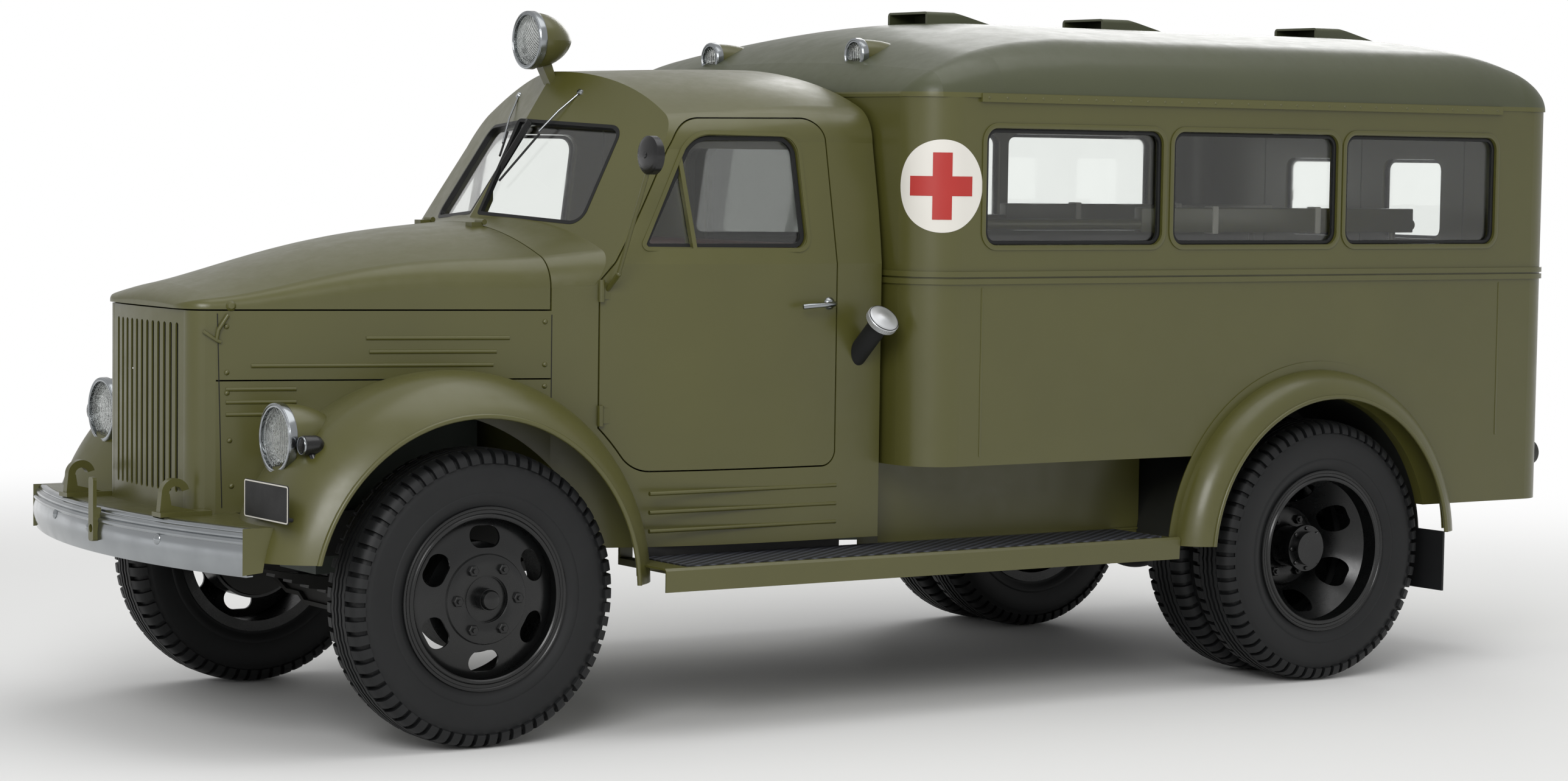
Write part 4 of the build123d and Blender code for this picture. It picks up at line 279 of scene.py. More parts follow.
# Panes: 6 mm toughened glass with a faint green cast and a film of dust.
# The dust only changes how sharp the pane is.
def glazing(name, colour, roughness, ripple=None):
    """Clear glass; ripple is (bump height, pattern scale, direction) of a pressed lamp glass."""
    material, tree, place = blank_material(name)
    film = add(tree, "TexNoise", {"Vector": place, "Scale": 6.0, "Detail": 3.0})
    haze = add(tree, "MapRange", (film, 0.35, 0.75, roughness, roughness + 0.05))
    cast = add(tree, "Mix", {0: film, 6: colour, 7: "#f8faf8"}, data_type="RGBA")
    inputs = {"Base Color": cast, "Roughness": haze, "IOR": 1.45, "Transmission Weight": 1.0}
    if ripple:
        depth, scale, direction = ripple
        rib = add(tree, "TexWave", {"Vector": place, "Scale": scale}, bands_direction=direction)
        inputs["Normal"] = add(tree, "Bump", {"Height": rib, "Strength": 0.8, "Distance": depth})
    return surfaced(material, inputs)


float_glass = glazing("toughened_window_glass", "#f4f6f4", 0.0)
cover(float_glass, "cab_glass", "body_glass")
cover(float_glass, "door_glass_left", "door_glass_right", "rear_door_glass_left", "rear_door_glass_right")


# Body floor and mud flaps: varnished boards 240 mm wide along the body, and moulded rubber.
# The wheelhouses and the underside of the floor are black; the rubber is matt.
FLOOR_HEIGHT, FLOOR_REACH = 0.85, 0.016
board_material, tree, place = blank_material("varnished_floor_boards")
grain_way = add(tree, "Mapping", {"Vector": place, "Scale": (1.0, 14.0, 14.0)})
grain = add(tree, "TexNoise", {"Vector": grain_way, "Scale": 9.0, "Detail": 8.0})
wood = add(tree, "Mix", {0: grain, 6: "#5d4a33", 7: "#8a7152"}, data_type="RGBA")
height = add(tree, "SeparateXYZ", (place,)).outputs["Z"]
upward = add(tree, "SeparateXYZ", (add(tree, "TexCoord").outputs["Normal"],)).outputs["Z"]
at_floor = add(tree, "Math", (height, FLOOR_HEIGHT, FLOOR_REACH), operation="COMPARE")
facing_up = add(tree, "Math", (upward, 0.5), operation="GREATER_THAN")
board = add(tree, "Math", (at_floor, facing_up), operation="MULTIPLY")
joint = add(tree, "TexWave", {"Vector": place, "Scale": 1.3}, bands_direction="Y")
patterned(board_material, board, ("#1b1c19", wood), (joint, 0.2, 0.002), {"Roughness": 0.48})
cover(board_material, "body_floor")


def moulded_rubber(name, colour, worn, roughness, grit):
    """Matt rubber; grit is the pattern's scale, and worn a second tone laid in random patches."""
    material, tree, place = blank_material(name)
    patch = add(tree, "TexNoise", {"Vector": place, "Scale": 7.0, "Detail": 6.0, "Roughness": 0.65})
    skin = add(tree, "TexNoise", {"Vector": place, "Scale": grit, "Detail": 3.0})
    inputs = {"Roughness": roughness, "Specular IOR Level": 0.35}
    return patterned(material, patch, (colour, worn), (skin, 0.35, 0.0005), inputs)


flap_rubber = moulded_rubber("black_flap_rubber", "#0f1011", "#1c1d1e", 0.6, 260.0)
# The filler neck is drawn in this black rubber too, as painted shade; the neck itself is olive.
cover(flap_rubber, "mud_flaps", "fuel_filler")


# Tyres: cross-country tyres 7.50 by 20 with four ribs in the middle and lugs on the shoulders.
# A tyre is one profile turned round the axle; every third step of the shoulder is a groove.
SIDES = (("left", 1), ("right", -1))
FRONT_AXLE_X, REAR_AXLE_X = 0.0, -3300.0
AXLE_HEIGHT = 462.0
TYRE_STEPS = 189
# Half the section: (distance from the tyre's middle, radius)
TYRE_HALF_PROFILE = (
    (78, 259), (84, 259), (84, 289), (87, 297), (92, 306), (93, 309), (97, 318), (97.5, 324), (95.5, 328),
    (99, 342), (101.5, 360), (102, 378), (100.5, 396), (99, 402), (97.5, 406), (95.5, 416), (92, 428),
    (86, 440), (76, 446), (62, 449), (46, 451), (43.5, 452), (42, 460.6), (27, 461.4), (25.5, 453),
    (19.5, 453), (18, 461.8), (6.5, 462), (5, 454.5),
)
LUG_HEIGHT = 0.0095
GROOVE_DEPTH = 0.006
RIB_KINK = 0.0035
SHOULDER_INNER = 0.0445
LUG_OUTER, LUG_FOOT = 0.0965, 0.4165
GROOVE_OUTER, GROOVE_FOOT, GROOVE_TOP = 0.0945, 0.4195, 0.452
RIB_FOOT = 0.459
# Columns: piece, node that it replaces, body, axle's x, each tyre's y
TYRES = (
    ("tyre_tread_front_left", "tyre_front_left", "front_left_wheel", FRONT_AXLE_X, (794.5,)),
    ("tyre_tread_front_right", "tyre_front_right", "front_right_wheel", FRONT_AXLE_X, (-794.5,)),
    ("tyre_tread_rear_left", "tyres_rear_left", "rear_left_wheels", REAR_AXLE_X, (700.0, 950.0)),
    ("tyre_tread_rear_right", "tyres_rear_right", "rear_right_wheels", REAR_AXLE_X, (-700.0, -950.0)),
)


def choose(*parts):
    """Selects these objects and no others; the first is the active one."""
    bpy.ops.object.select_all(action="DESELECT")
    for part in parts:
        part.select_set(True)
    bpy.context.view_layer.objects.active = parts[0]


def apply_place(piece):
    """Moves the object's place, turn and scale into its mesh."""
    choose(piece)
    bpy.ops.object.transform_apply(location=True, rotation=True, scale=True)


def edit_all(kind):
    """Goes to edit mode with all of the piece's vertices, edges or faces selected."""
    bpy.ops.object.mode_set(mode="EDIT")
    bpy.ops.mesh.select_mode(type=kind)
    bpy.ops.mesh.select_all(action="SELECT")


def line_of_points(points):
    """Extrudes a vertex from point to point and leaves the line selected in edit mode."""
    bpy.ops.mesh.primitive_plane_add(size=0.001, location=points[0])
    bpy.ops.object.mode_set(mode="EDIT")
    bpy.ops.mesh.select_mode(type="VERT")
    bpy.ops.mesh.merge(type="CENTER")
    for start, end in zip(points, points[1:]):
        step = Vector(end) - Vector(start)
        bpy.ops.mesh.extrude_region_move(TRANSFORM_OT_translate={"value": step})
    bpy.ops.mesh.select_all(action="SELECT")
    return bpy.context.object


def outside_out():
    """Merges doubles and turns the faces outwards, then goes back to object mode."""
    bpy.ops.mesh.select_all(action="SELECT")
    bpy.ops.mesh.remove_doubles(threshold=0.00005)
    bpy.ops.mesh.normals_make_consistent(inside=False)
    bpy.ops.object.mode_set(mode="OBJECT")


def thickened(step):
    """Extrudes all of the flat piece in edit mode by a step in metres, and closes it."""
    bpy.ops.mesh.select_all(action="SELECT")
    bpy.ops.mesh.extrude_region_move(TRANSFORM_OT_translate={"value": step})
    outside_out()


def select_faces(piece, wanted):
    """Selects the faces whose middle and normal pass the test, and goes to edit mode."""
    bpy.ops.object.mode_set(mode="EDIT")
    bpy.ops.mesh.select_mode(type="FACE")
    bpy.ops.mesh.select_all(action="DESELECT")
    bpy.ops.object.mode_set(mode="OBJECT")
    for face in piece.data.polygons:
        face.select = wanted(face.center, face.normal)
    bpy.ops.object.mode_set(mode="EDIT")


def applied(piece, kind, **settings):
    """Adds a modifier with its settings and applies it."""
    modifier = piece.modifiers.new(kind, kind)
    for name, value in settings.items():
        setattr(modifier, name, value)
    bpy.ops.object.modifier_apply(modifier=modifier.name)


def copies(piece, matrices, keep=False):
    """Copies of a piece with their own meshes, moved by the matrices; it goes unless it is kept."""
    made = []
    for matrix in matrices:
        twin = piece.copy()
        twin.data = piece.data.copy()
        twin.data.transform(matrix)
        bpy.context.scene.collection.objects.link(twin)
        made.append(twin)
    if not keep:
        bpy.data.objects.remove(piece)
    return made


def finished(parts, name, look, body="truck", angle=35.0):
    """Joins the parts to one piece, smooths it and gives it its name, body and the look's material."""
    parts = parts if isinstance(parts, list) else [parts]
    choose(*parts)
    if len(parts) > 1:
        bpy.ops.object.join()
    piece = parts[0]
    piece.name = name
    bpy.ops.object.shade_smooth_by_angle(angle=math.radians(angle))
    piece.data.materials.clear()
    piece.data.materials.append(look[0])
    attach(piece, body)
    return piece


def on_step(middle, grooves, inner, outer, foot, top):
    """True on the tread's groove steps, or its lug steps, within these widths and radii."""
    turn = math.atan2(middle.z, middle.x) % (2 * math.pi)
    is_groove = int(turn / (2 * math.pi) * TYRE_STEPS) % 3 == 0
    within = inner < abs(middle.y) < outer and foot < math.hypot(middle.x, middle.z) < top
    return within and is_groove == grooves


def on_rib_link(middle, normal):
    """True on every third step of the ribs in the middle of the tread."""
    return on_step(middle, True, -1, math.inf, RIB_FOOT, math.inf)


def on_lug(middle, normal):
    """True on two steps out of three of both shoulders."""
    return on_step(middle, False, SHOULDER_INNER, LUG_OUTER, LUG_FOOT, math.inf)


def in_groove(middle, normal):
    """True on the steps between the lugs, on the shoulder only."""
    return on_step(middle, True, SHOULDER_INNER, GROOVE_OUTER, GROOVE_FOOT, GROOVE_TOP)


whole_profile = TYRE_HALF_PROFILE + tuple((-t, r) for t, r in reversed(TYRE_HALF_PROFILE))
tyre = line_of_points([(r / 1000, t / 1000, 0) for t, r in whole_profile])
bpy.ops.mesh.spin(steps=TYRE_STEPS, angle=2 * math.pi, center=(0, 0, 0), axis=(0, 1, 0))
outside_out()
apply_place(tyre)
select_faces(tyre, on_rib_link)
bpy.ops.transform.translate(value=(0, RIB_KINK, 0))
for wanted, rise in ((on_lug, LUG_HEIGHT), (in_groove, -GROOVE_DEPTH)):
    select_faces(tyre, wanted)
    bpy.ops.mesh.extrude_region_shrink_fatten(TRANSFORM_OT_shrink_fatten={"value": rise})
bpy.ops.object.mode_set(mode="OBJECT")
tyre_rubber = moulded_rubber("tyre_tread_rubber", "#0e0f10", "#191a1b", 0.55, 420.0)
for name, node, body, x, places in TYRES:
    treads = copies(tyre, [Matrix.Translation(at(x, y, AXLE_HEIGHT)) for y in places], keep=True)
    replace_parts(finished(treads, name, (tyre_rubber, "tyre_rubber"), body), node)
bpy.data.objects.remove(tyre)


# Wheel nuts, hub bolts, nave plates and rim rings: turned and forged, painted with the wheel.
# Six nuts hold each disc on its nave plate, and eight small bolts hold the hub's cover.
NUT_PITCH = 105.0
COVER_PITCH = 71.0
COVER_Y = 951.0
HUB_CAP_Y = 896.0
NAVE_THICKNESS = 9
NAVE_PLATE = ((73, 0), (73, 7), (76, 9), (129, 9), (137, 6), (141, 0), (73, 0))
RIM_RING = (
    (249, 0), (249, 3), (253, 6.5), (260, 6.5), (264, 3), (265, 1), (274, 1), (276, 4), (281, 6), (285, 4),
    (287, 0), (249, 0),
)
NUT = ((0.01, 22), (8, 22), (8, 15), (15, 15), (17.5, 12.5), (17.5, 0), (0.01, 0))
BOLT = ((0.01, 7), (6, 7), (7.5, 5.5), (7.5, 0), (0.01, 0))
HUB_CAP = ((0.01, 30), (18, 29), (27, 25), (31, 18), (32, 0), (0.01, 0))
# Columns: end of the truck, axle's x, y of the nave plate, y of the rim ring, last word of the body
WHEELS = (("front", FRONT_AXLE_X, 884.0, 882.5, "wheel"), ("rear", REAR_AXLE_X, 833.0, 1038.0, "wheels"))


def turned(profile, steps, place, facing):
    """A (radius, height) profile in mm turned about facing, at a place in metres."""
    piece = line_of_points([(r / 1000, 0, h / 1000) for r, h in profile])
    bpy.ops.mesh.spin(steps=steps, angle=2 * math.pi, center=(0, 0, 0), axis=(0, 0, 1))
    outside_out()
    apply_place(piece)
    piece.data.transform(Vector(facing).to_track_quat("Z", "Y").to_matrix().to_4x4())
    piece.data.transform(Matrix.Translation(place))
    return piece


def ring_of(piece, count, pitch):
    """Copies of a piece on the axle's middle line, set on a pitch circle in mm about that line."""
    turns = [2 * math.pi * n / count for n in range(count)]
    shifts = [Vector((pitch * math.cos(t) / 1000, 0, pitch * math.sin(t) / 1000)) for t in turns]
    return copies(piece, [Matrix.Translation(shift) for shift in shifts])


for label, side in SIDES:
    outward = (0, side, 0)
    for end, x, nave_y, rim_y, last_word in WHEELS:
        body = end + "_" + label + "_" + last_word
        plate = turned(NAVE_PLATE, 72, at(x, side * nave_y, AXLE_HEIGHT), outward)
        rim = turned(RIM_RING, 96, at(x, side * rim_y, AXLE_HEIGHT), outward)
        finished([plate, rim], "nave_plate_and_rim_ring_" + body, wheel_look, body)
        nut = turned(NUT, 6, at(x, side * (nave_y + NAVE_THICKNESS), AXLE_HEIGHT), outward)
        nuts = ring_of(nut, 6, NUT_PITCH)
        finished(nuts, "wheel_nuts_" + end + "_" + label, wheel_look, body, 25)
    bolts = ring_of(turned(BOLT, 6, at(REAR_AXLE_X, side * COVER_Y, AXLE_HEIGHT), outward), 8, COVER_PITCH)
    body = "rear_" + label + "_wheels"
    finished(bolts, "hub_bolts_rear_" + label, wheel_look, body, 25)
    cap = turned(HUB_CAP, 40, at(FRONT_AXLE_X, side * HUB_CAP_Y, AXLE_HEIGHT), outward)
    body = "front_" + label + "_wheel"
    finished(cap, "hub_cap_front_" + label, wheel_look, body)


# Bumper bolts: three carriage bolts with low round heads that hold the bumper on the rails.
# They are plated like the bumper.
BUMPER_BOLTS = ((395.0, 642.0), (-55.0, 638.0), (-395.0, 648.0))
BUMPER_BOLT = ((0.01, 8), (6, 7.4), (12, 5.2), (16, 2.2), (17.5, 0), (0.01, 0))


def hit(node, start, way):
    """Where a ray from start, in mm, meets a CAD node: its point and the surface's normal."""
    found, point, normal, _ = nodes[node].ray_cast(at(*start), Vector(way))
    if not found:
        raise ValueError(node + " isn't met from " + str(start))
    return point, normal if normal.dot(Vector(way)) < 0 else -normal


bolts = [turned(BUMPER_BOLT, 32, *hit("bumper", (1100, y, z), (-1, 0, 0))) for y, z in BUMPER_BOLTS]
finished(bolts, "bumper_bolts", plated_look)


# Lamps: a rounded plated bezel round each rim, and a dished silvered reflector behind its glass.
# Headlamp and roof lamp glasses have upright flutes; the spot lamp's has a fine slanting pattern.
AHEAD, BEHIND = (1, 0, 0), (-1, 0, 0)
BULB = ((0.01, 12), (4, 11), (6.5, 8), (6.5, 0.5), (0.01, 0.5))
# How much wider than the lamp, and how high
BEZEL = ((0.5, 12), (3, 20), (6, 23.5), (10, 23), (13, 19), (13.5, 0), (12, -4), (0.5, 12))
# Columns: name, place and radius
HEAD_LAMPS = (
    ("headlamp_left", (580.0, 650.0, 958.0), 95.0),
    ("headlamp_right", (580.0, -650.0, 958.0), 95.0),
    ("roof_lamp_left", (-1672.0, 450.0, 2175.0), 43.0),
    ("roof_lamp_right", (-1672.0, -450.0, 2175.0), 43.0),
    ("spot_lamp", (-655.0, 0.0, 2203.0), 84.0),
)
silvered = polished("silvered_reflector", "#f4f5f5", 0.2, 400.0, metal=0.45)
fluted_glass = glazing("fluted_lamp_glass", "#f2f5f3", 0.02, (0.004, 32.0, "Y"))
cell_glass = glazing("honeycomb_lamp_glass", "#f2f5f3", 0.02, (0.003, 60.0, "DIAGONAL"))
for name, spot, r in HEAD_LAMPS:
    place = at(*spot)
    dish = [(0.01, 0.6), (r * 0.3, 1), (r * 0.6, 2.6), (r * 0.85, 6), (r - 1, 10), (r - 1, 0.2), (0.01, 0.2)]
    reflector = [turned(dish, 64, place, AHEAD), turned(BULB, 24, place, AHEAD)]
    finished(reflector, name + "_reflector", (silvered, "bright_metal"))
    dome = [(0.01, 24), (r * 0.35, 22.8), (r * 0.62, 20), (r * 0.85, 16), (r - 0.3, 11.5), (r - 0.3, 8.5)]
    inner = [(radius * 0.985, height - 2.5) for radius, height in reversed(dome[:-1])]
    glass = turned(dome + inner, 72, place, AHEAD)
    finished(glass, name + "_glass", (cell_glass if name == "spot_lamp" else fluted_glass, "clear_glass"))
    if name == "headlamp_left":
        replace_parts(glass, "lamp_lenses")
    bezel = turned([(r + wider, h) for wider, h in BEZEL], 72, place, AHEAD)
    finished(bezel, name + "_bezel", plated_look)


# Side lamps and tail lamps: moulded lenses on the small lamp bodies.
# The side lamps' are clear in black housings beside the headlamps, the tail lamps' deep red.
SIDE_LENS = ((0.01, 11), (10, 10), (18, 7), (23, 3), (24.5, 0), (0.01, 0))
SIDE_RIM = ((24.5, 0), (24.5, 3), (27, 4), (28.2, 2), (28.2, -4), (24.5, -4), (24.5, 0))
SIDE_SHELL = ((0.01, 0), (27.5, 0), (30, -3), (30, -42), (26, -56), (16, -66), (0.01, -69), (0.01, 0))
SIDE_LAMP_X, SIDE_LAMP_Y, SIDE_LAMP_Z = 578, 788, 946
TAIL_LAMP_X, TAIL_LAMP_Y, TAIL_LAMP_Z = -4480, 880, 760
TAIL_LENS = ((0.01, 14), (16, 13), (30, 9.5), (38, 4), (40.5, 0), (0.01, 0))


def rod_along(points, radius, sides=6):
    """A round rod through points in metres."""
    line = bpy.data.curves.new("rod", "CURVE")
    line.dimensions = "3D"
    line.bevel_depth = radius
    line.bevel_resolution = sides
    line.use_fill_caps = True
    run = line.splines.new("POLY")
    run.points.add(len(points) - 1)
    for place, point in zip(run.points, points):
        place.co = (*point, 1.0)
    piece = bpy.data.objects.new("rod", line)
    bpy.context.scene.collection.objects.link(piece)
    choose(piece)
    bpy.ops.object.convert(target="MESH")
    bpy.ops.object.mode_set(mode="EDIT")
    outside_out()
    return bpy.context.object


clear_lens = glazing("clear_lens_glass", "#f4f1e6", 0.05, (0.001, 90.0, "Z"))
red_lens = coated("red_moulded_lens", "#8e1512", "#7c100e", "#8e1512", 0.14, coat=0.8)
for label, side in SIDES:
    place = at(SIDE_LAMP_X, side * SIDE_LAMP_Y, SIDE_LAMP_Z)
    finished(turned(SIDE_LENS, 36, place, AHEAD), "side_lamp_lens_" + label, (clear_lens, "clear_glass"))
    foot = rod_along([at(546, side * 790, 922), at(541, side * 806, 893)], 0.011)
    shell = [turned(SIDE_SHELL, 36, place, AHEAD), foot]
    finished(shell, "side_lamp_housing_" + label, (moulded_black, "dark_trim"))
    finished(turned(SIDE_RIM, 36, place, AHEAD), "side_lamp_rim_" + label, plated_look)
    lens = turned(TAIL_LENS, 40, at(TAIL_LAMP_X, side * TAIL_LAMP_Y, TAIL_LAMP_Z), BEHIND)
    finished(lens, "tail_lamp_lens_" + label, (red_lens, "dark_trim"))


# Window frames of the body: pressed rings screwed round the openings over a black rubber strip.
# Each ring is a rounded plate with its middle taken out, bevelled and laid on the wall.
SIDE_WINDOWS = ((-2558.0, -1806.0), (-3360.0, -2609.0), (-4137.0, -3403.0))
WINDOW_FOOT, WINDOW_TOP = 1545.0, 1930.0
REAR_WINDOW = (320, 305)
REAR_WINDOW_Y, REAR_WINDOW_Z = 280, 1697.5
# Frame and rubber. Columns: larger than the window by, corner radius, depth, width, rounded edge
SIDE_RINGS = ((36, 62, 5, 17, 2.0), (-1, 44, 14, 13, 3.0))
REAR_RINGS = ((36, 62, 5, 17, 2.0), (-1, 44, 13, 13, 3.0))
# Which way a plate's length and its height run
FACING = {
    "left": ((-1, 0, 0), (0, 0, 1)),
    "right": ((1, 0, 0), (0, 0, 1)),
    "front": ((0, 1, 0), (0, 0, 1)),
    "rear": ((0, -1, 0), (0, 0, 1)),
    "up": ((1, 0, 0), (0, 1, 0)),
}
rubber_look = (moulded_rubber("black_window_rubber", "#0b0c0c", "#141515", 0.5, 300.0), "flap_rubber")


def opened(width):
    """Leaves a ring, of a width in metres, of the flat piece in edit mode."""
    edit_all("FACE")
    bpy.ops.mesh.inset(thickness=width)
    bpy.ops.mesh.delete(type="FACE")


def rounded_plate(facing, middle, size, radius, thick, width=None, edge=1.0, segments=8):
    """A plate with round corners, or a ring of the given width, standing on its wall.

    facing names the wall; middle is in mm from the axle; sizes are in mm.
    """
    bpy.ops.mesh.primitive_plane_add(size=1)
    piece = bpy.context.object
    bpy.ops.object.mode_set(mode="EDIT")
    bpy.ops.transform.resize(value=(size[0] / 1000, size[1] / 1000, 1))
    edit_all("VERT")
    bpy.ops.mesh.bevel(offset=radius / 1000, segments=segments, affect="VERTICES")
    if width:
        opened(width / 1000)
    thickened((0, 0, thick / 1000))
    if edge:
        limit = math.radians(50)
        applied(piece, "BEVEL", width=edge / 1000, segments=2, limit_method="ANGLE", angle_limit=limit)
    along, up = (Vector(v) for v in FACING[facing])
    turn = Matrix((along, up, along.cross(up))).transposed().to_4x4()
    apply_place(piece)
    piece.data.transform(Matrix.Translation(at(*middle)) @ turn)
    return piece


def window_rings(facing, size, middles, rings):
    """The frame and the rubber round a window, each from its middle and its row of sizes."""
    made = []
    for middle, (larger, *shape) in zip(middles, rings):
        made.append(rounded_plate(facing, middle, (size[0] + larger, size[1] + larger), *shape))
    return made


for label, side in SIDES:
    rings = []
    for x0, x1 in SIDE_WINDOWS:
        x, z = (x0 + x1) / 2, (WINDOW_FOOT + WINDOW_TOP) / 2
        size = (x1 - x0, WINDOW_TOP - WINDOW_FOOT)
        middles = ((x, side * 1000, z), (x, side * 981, z))
        rings.append(window_rings(label, size, middles, SIDE_RINGS))
    frames, strips = (list(pieces) for pieces in zip(*rings))
    finished(frames, "side_window_frames_" + label, olive_look)
    finished(strips, "side_window_rubbers_" + label, rubber_look)


# Rear doors: the same frames and rubbers round two small panes.
# They ride on the doors.
for label, side in SIDES:
    middles = [(x, side * REAR_WINDOW_Y, REAR_WINDOW_Z) for x in (-4450, -4429)]
    ring, strip = window_rings("rear", REAR_WINDOW, middles, REAR_RINGS)
    body = label + "_rear_door"
    finished(ring, "rear_window_frame_" + label, olive_look, body)
    finished(strip, "rear_window_rubber_" + label, rubber_look, body)


# Windscreen rubbers: an extruded strip that holds each flat pane in the cab's front.
# They are drawn flat in the pane's own plane, 17 mm deep, and stand 1 mm proud of it.
SCREEN_FOOT = (-423.0, 0.0, 1612.0)
SCREEN_NORMAL = Vector((0.815, 0.2443, 0.5254)).normalized()
SCREEN_OUTLINE = ((26, 12), (508.4, -18), (511.4, 362), (26, 388))
SCREEN_ROUNDS = (14, 55, 55, 14)
SCREEN_RING_START, SCREEN_RING_DEPTH, SCREEN_RING_WIDTH = -0.016, 0.017, 0.013


def screen_normal(side):
    """Which way a pane of the windscreen faces."""
    return Vector((SCREEN_NORMAL.x, side * SCREEN_NORMAL.y, SCREEN_NORMAL.z))


def rounded_outline(points, rounds, steps=7):
    """Corner points of a flat outline, with its corners rounded off."""
    made = []
    count = len(points)
    for n in range(count):
        corner = Vector(points[n])
        before = (Vector(points[n - 1]) - corner).normalized()
        after = (Vector(points[(n + 1) % count]) - corner).normalized()
        half = before.angle(after) / 2
        reach = rounds[n] / math.tan(half)
        middle = corner + (before + after).normalized() * (rounds[n] / math.sin(half))
        start, end = corner + before * reach - middle, corner + after * reach - middle
        for k in range(steps + 1):
            spoke = start.normalized().slerp(end.normalized(), k / steps)
            made.append(middle + spoke * rounds[n])
    return made


def flat_ring(points, width):
    """A flat ring inside an outline in metres, in edit mode."""
    piece = line_of_points(points)
    bpy.ops.mesh.edge_face_add()
    bpy.ops.mesh.normals_make_consistent(inside=False)
    opened(width)
    return piece


for label, side in SIDES:
    normal = screen_normal(side)
    along = Vector((-normal.y, normal.x, 0)).normalized() * side
    up = normal.cross(along) * side
    outline = rounded_outline(SCREEN_OUTLINE, SCREEN_ROUNDS)
    ring = flat_ring([(p.x / 1000, p.y / 1000, SCREEN_RING_START) for p in outline], SCREEN_RING_WIDTH)
    thickened((0, 0, SCREEN_RING_DEPTH))
    apply_place(ring)
    place = Matrix((along, up, normal)).transposed().to_4x4()
    ring.data.transform(Matrix.Translation(at(*SCREEN_FOOT)) @ place)
    if place.determinant() < 0:
        ring.data.flip_normals()
    finished(ring, "windscreen_rubber_" + label, rubber_look)


# Door window rubbers: a strip round each door's quarter light and drop glass.
# It is drawn in side view and wrapped on to the curved door, so it follows the cab's narrowing.
DOOR_WINDOW = ((-652, 1530), (-883, 1893), (-1240, 1893), (-1240, 1530))
DOOR_ROUNDS = (18, 110, 60, 45)
OFF_THE_DOOR = 1.3
LEAST_DOOR_Y = 0.6
DOOR_RING_LIFT = -0.001


def wrapped_ring(node, side, grow, width, thick):
    """A ring round the door's window, drawn in side view and pressed on to a node's outer side."""
    outline = rounded_outline(DOOR_WINDOW, DOOR_ROUNDS)
    middle = sum(outline, Vector((0, 0))) / len(outline)
    grown = [p + (p - middle).normalized() * grow for p in outline]
    ring = flat_ring([(p.x / 1000 + AXLE_TO_MIDDLE, p.y / 1000, 0) for p in grown], width)
    bpy.ops.object.mode_set(mode="OBJECT")
    apply_place(ring)
    for vertex in ring.data.vertices:
        start = Vector((vertex.co.x, side * OFF_THE_DOOR, vertex.co.y))
        found, point, _, _ = nodes[node].ray_cast(start, Vector((0, -side, 0)))
        if not found or abs(point.y) < LEAST_DOOR_Y:
            raise ValueError(node + " isn't met at " + str(start))
        vertex.co = (start.x, point.y + side * DOOR_RING_LIFT, start.z)
    bpy.ops.object.mode_set(mode="EDIT")
    thickened((0, side * thick, 0))
    return ring


for label, side in SIDES:
    body = label + "_door"
    rubber = wrapped_ring("door_glass_" + label, side, -4, 0.012, 0.012)
    finished(rubber, "door_window_rubber_" + label, rubber_look, body)
    ring = wrapped_ring("cab_door_" + label, side, 17, 0.013, 0.005)
    finished(ring, "door_window_frame_" + label, olive_look, body)


# Door handles: die-cast levers, chrome plated, each on a round boss.
# A bent rod makes the lever; the boss is turned.
BOSS = ((0.01, 13), (11, 12), (15, 8), (20, 3), (21, 0), (0.01, 0))
HANDLE_REACH = 0.042
# How far out the lever is, as a share of its reach, and how far back and up it has gone
HANDLE_BENDS = ((1, 0.012, -0.001), (1.08, 0.06, -0.003), (1.02, 0.11, -0.006), (0.9, 0.128, -0.008))
for label, side in SIDES:
    point, _ = hit("cab_door_" + label, (-1322, side * 1300, 1350), (0, -side, 0))
    boss = turned(BOSS, 32, point, (0, side, 0))
    out = Vector((0, side * HANDLE_REACH, 0))
    path = [point + Vector((0, side * 0.004, 0)), point + out * 0.8]
    path += [point + out * share + Vector((x, 0, z)) for share, x, z in HANDLE_BENDS]
    handle = [rod_along(path, 0.0085), boss]
    finished(handle, "door_handle_" + label, plated_look, label + "_door", 50)
rear_boss = turned(BOSS, 32, at(-4450, 60, 1350), BEHIND)
path = ((-4452, 60, 1350), (-4490, 60, 1350), (-4494, 50, 1346), (-4494, 52, 1290), (-4488, 52, 1250))
rear_handle = [rod_along([at(*point) for point in path], 0.009), rear_boss]
finished(rear_handle, "rear_door_handle", plated_look, "left_rear_door", 50)


# Mirror head and filler cap: a black domed shell with a silvered disc in its back, and a spun
# cap with a milled rim over the filler neck's mouth.
MIRROR_HEAD = (
    (0.01, 13), (9, 12.5), (10, 9), (26, 7.5), (44, 4.5), (56, 1), (60.5, -3), (60.5, -27), (59.5, -27),
    (0.01, -12), (0.01, 13),
)
MIRROR = ((0.01, 2.2), (50, 2.2), (53, 0), (0.01, 0))
FUEL_CAP = ((0.01, 31), (18, 31), (24, 27), (44, 26.5), (51, 24), (54.5, 20), (54.5, 2), (51, -1), (0.01, -1))
FUEL_CAP_RADIUS = 0.0545
FILLER_FOOT, FILLER_MOUTH = Vector((-1440, 690, 1090)), Vector((-1455, 905, 1290))
slope = (FILLER_MOUTH - FILLER_FOOT).normalized()


def on_rim(middle, normal):
    """True on the upright side of the filler cap."""
    return abs((middle - at(*FILLER_MOUTH)).cross(slope).length - FUEL_CAP_RADIUS) < 0.0006


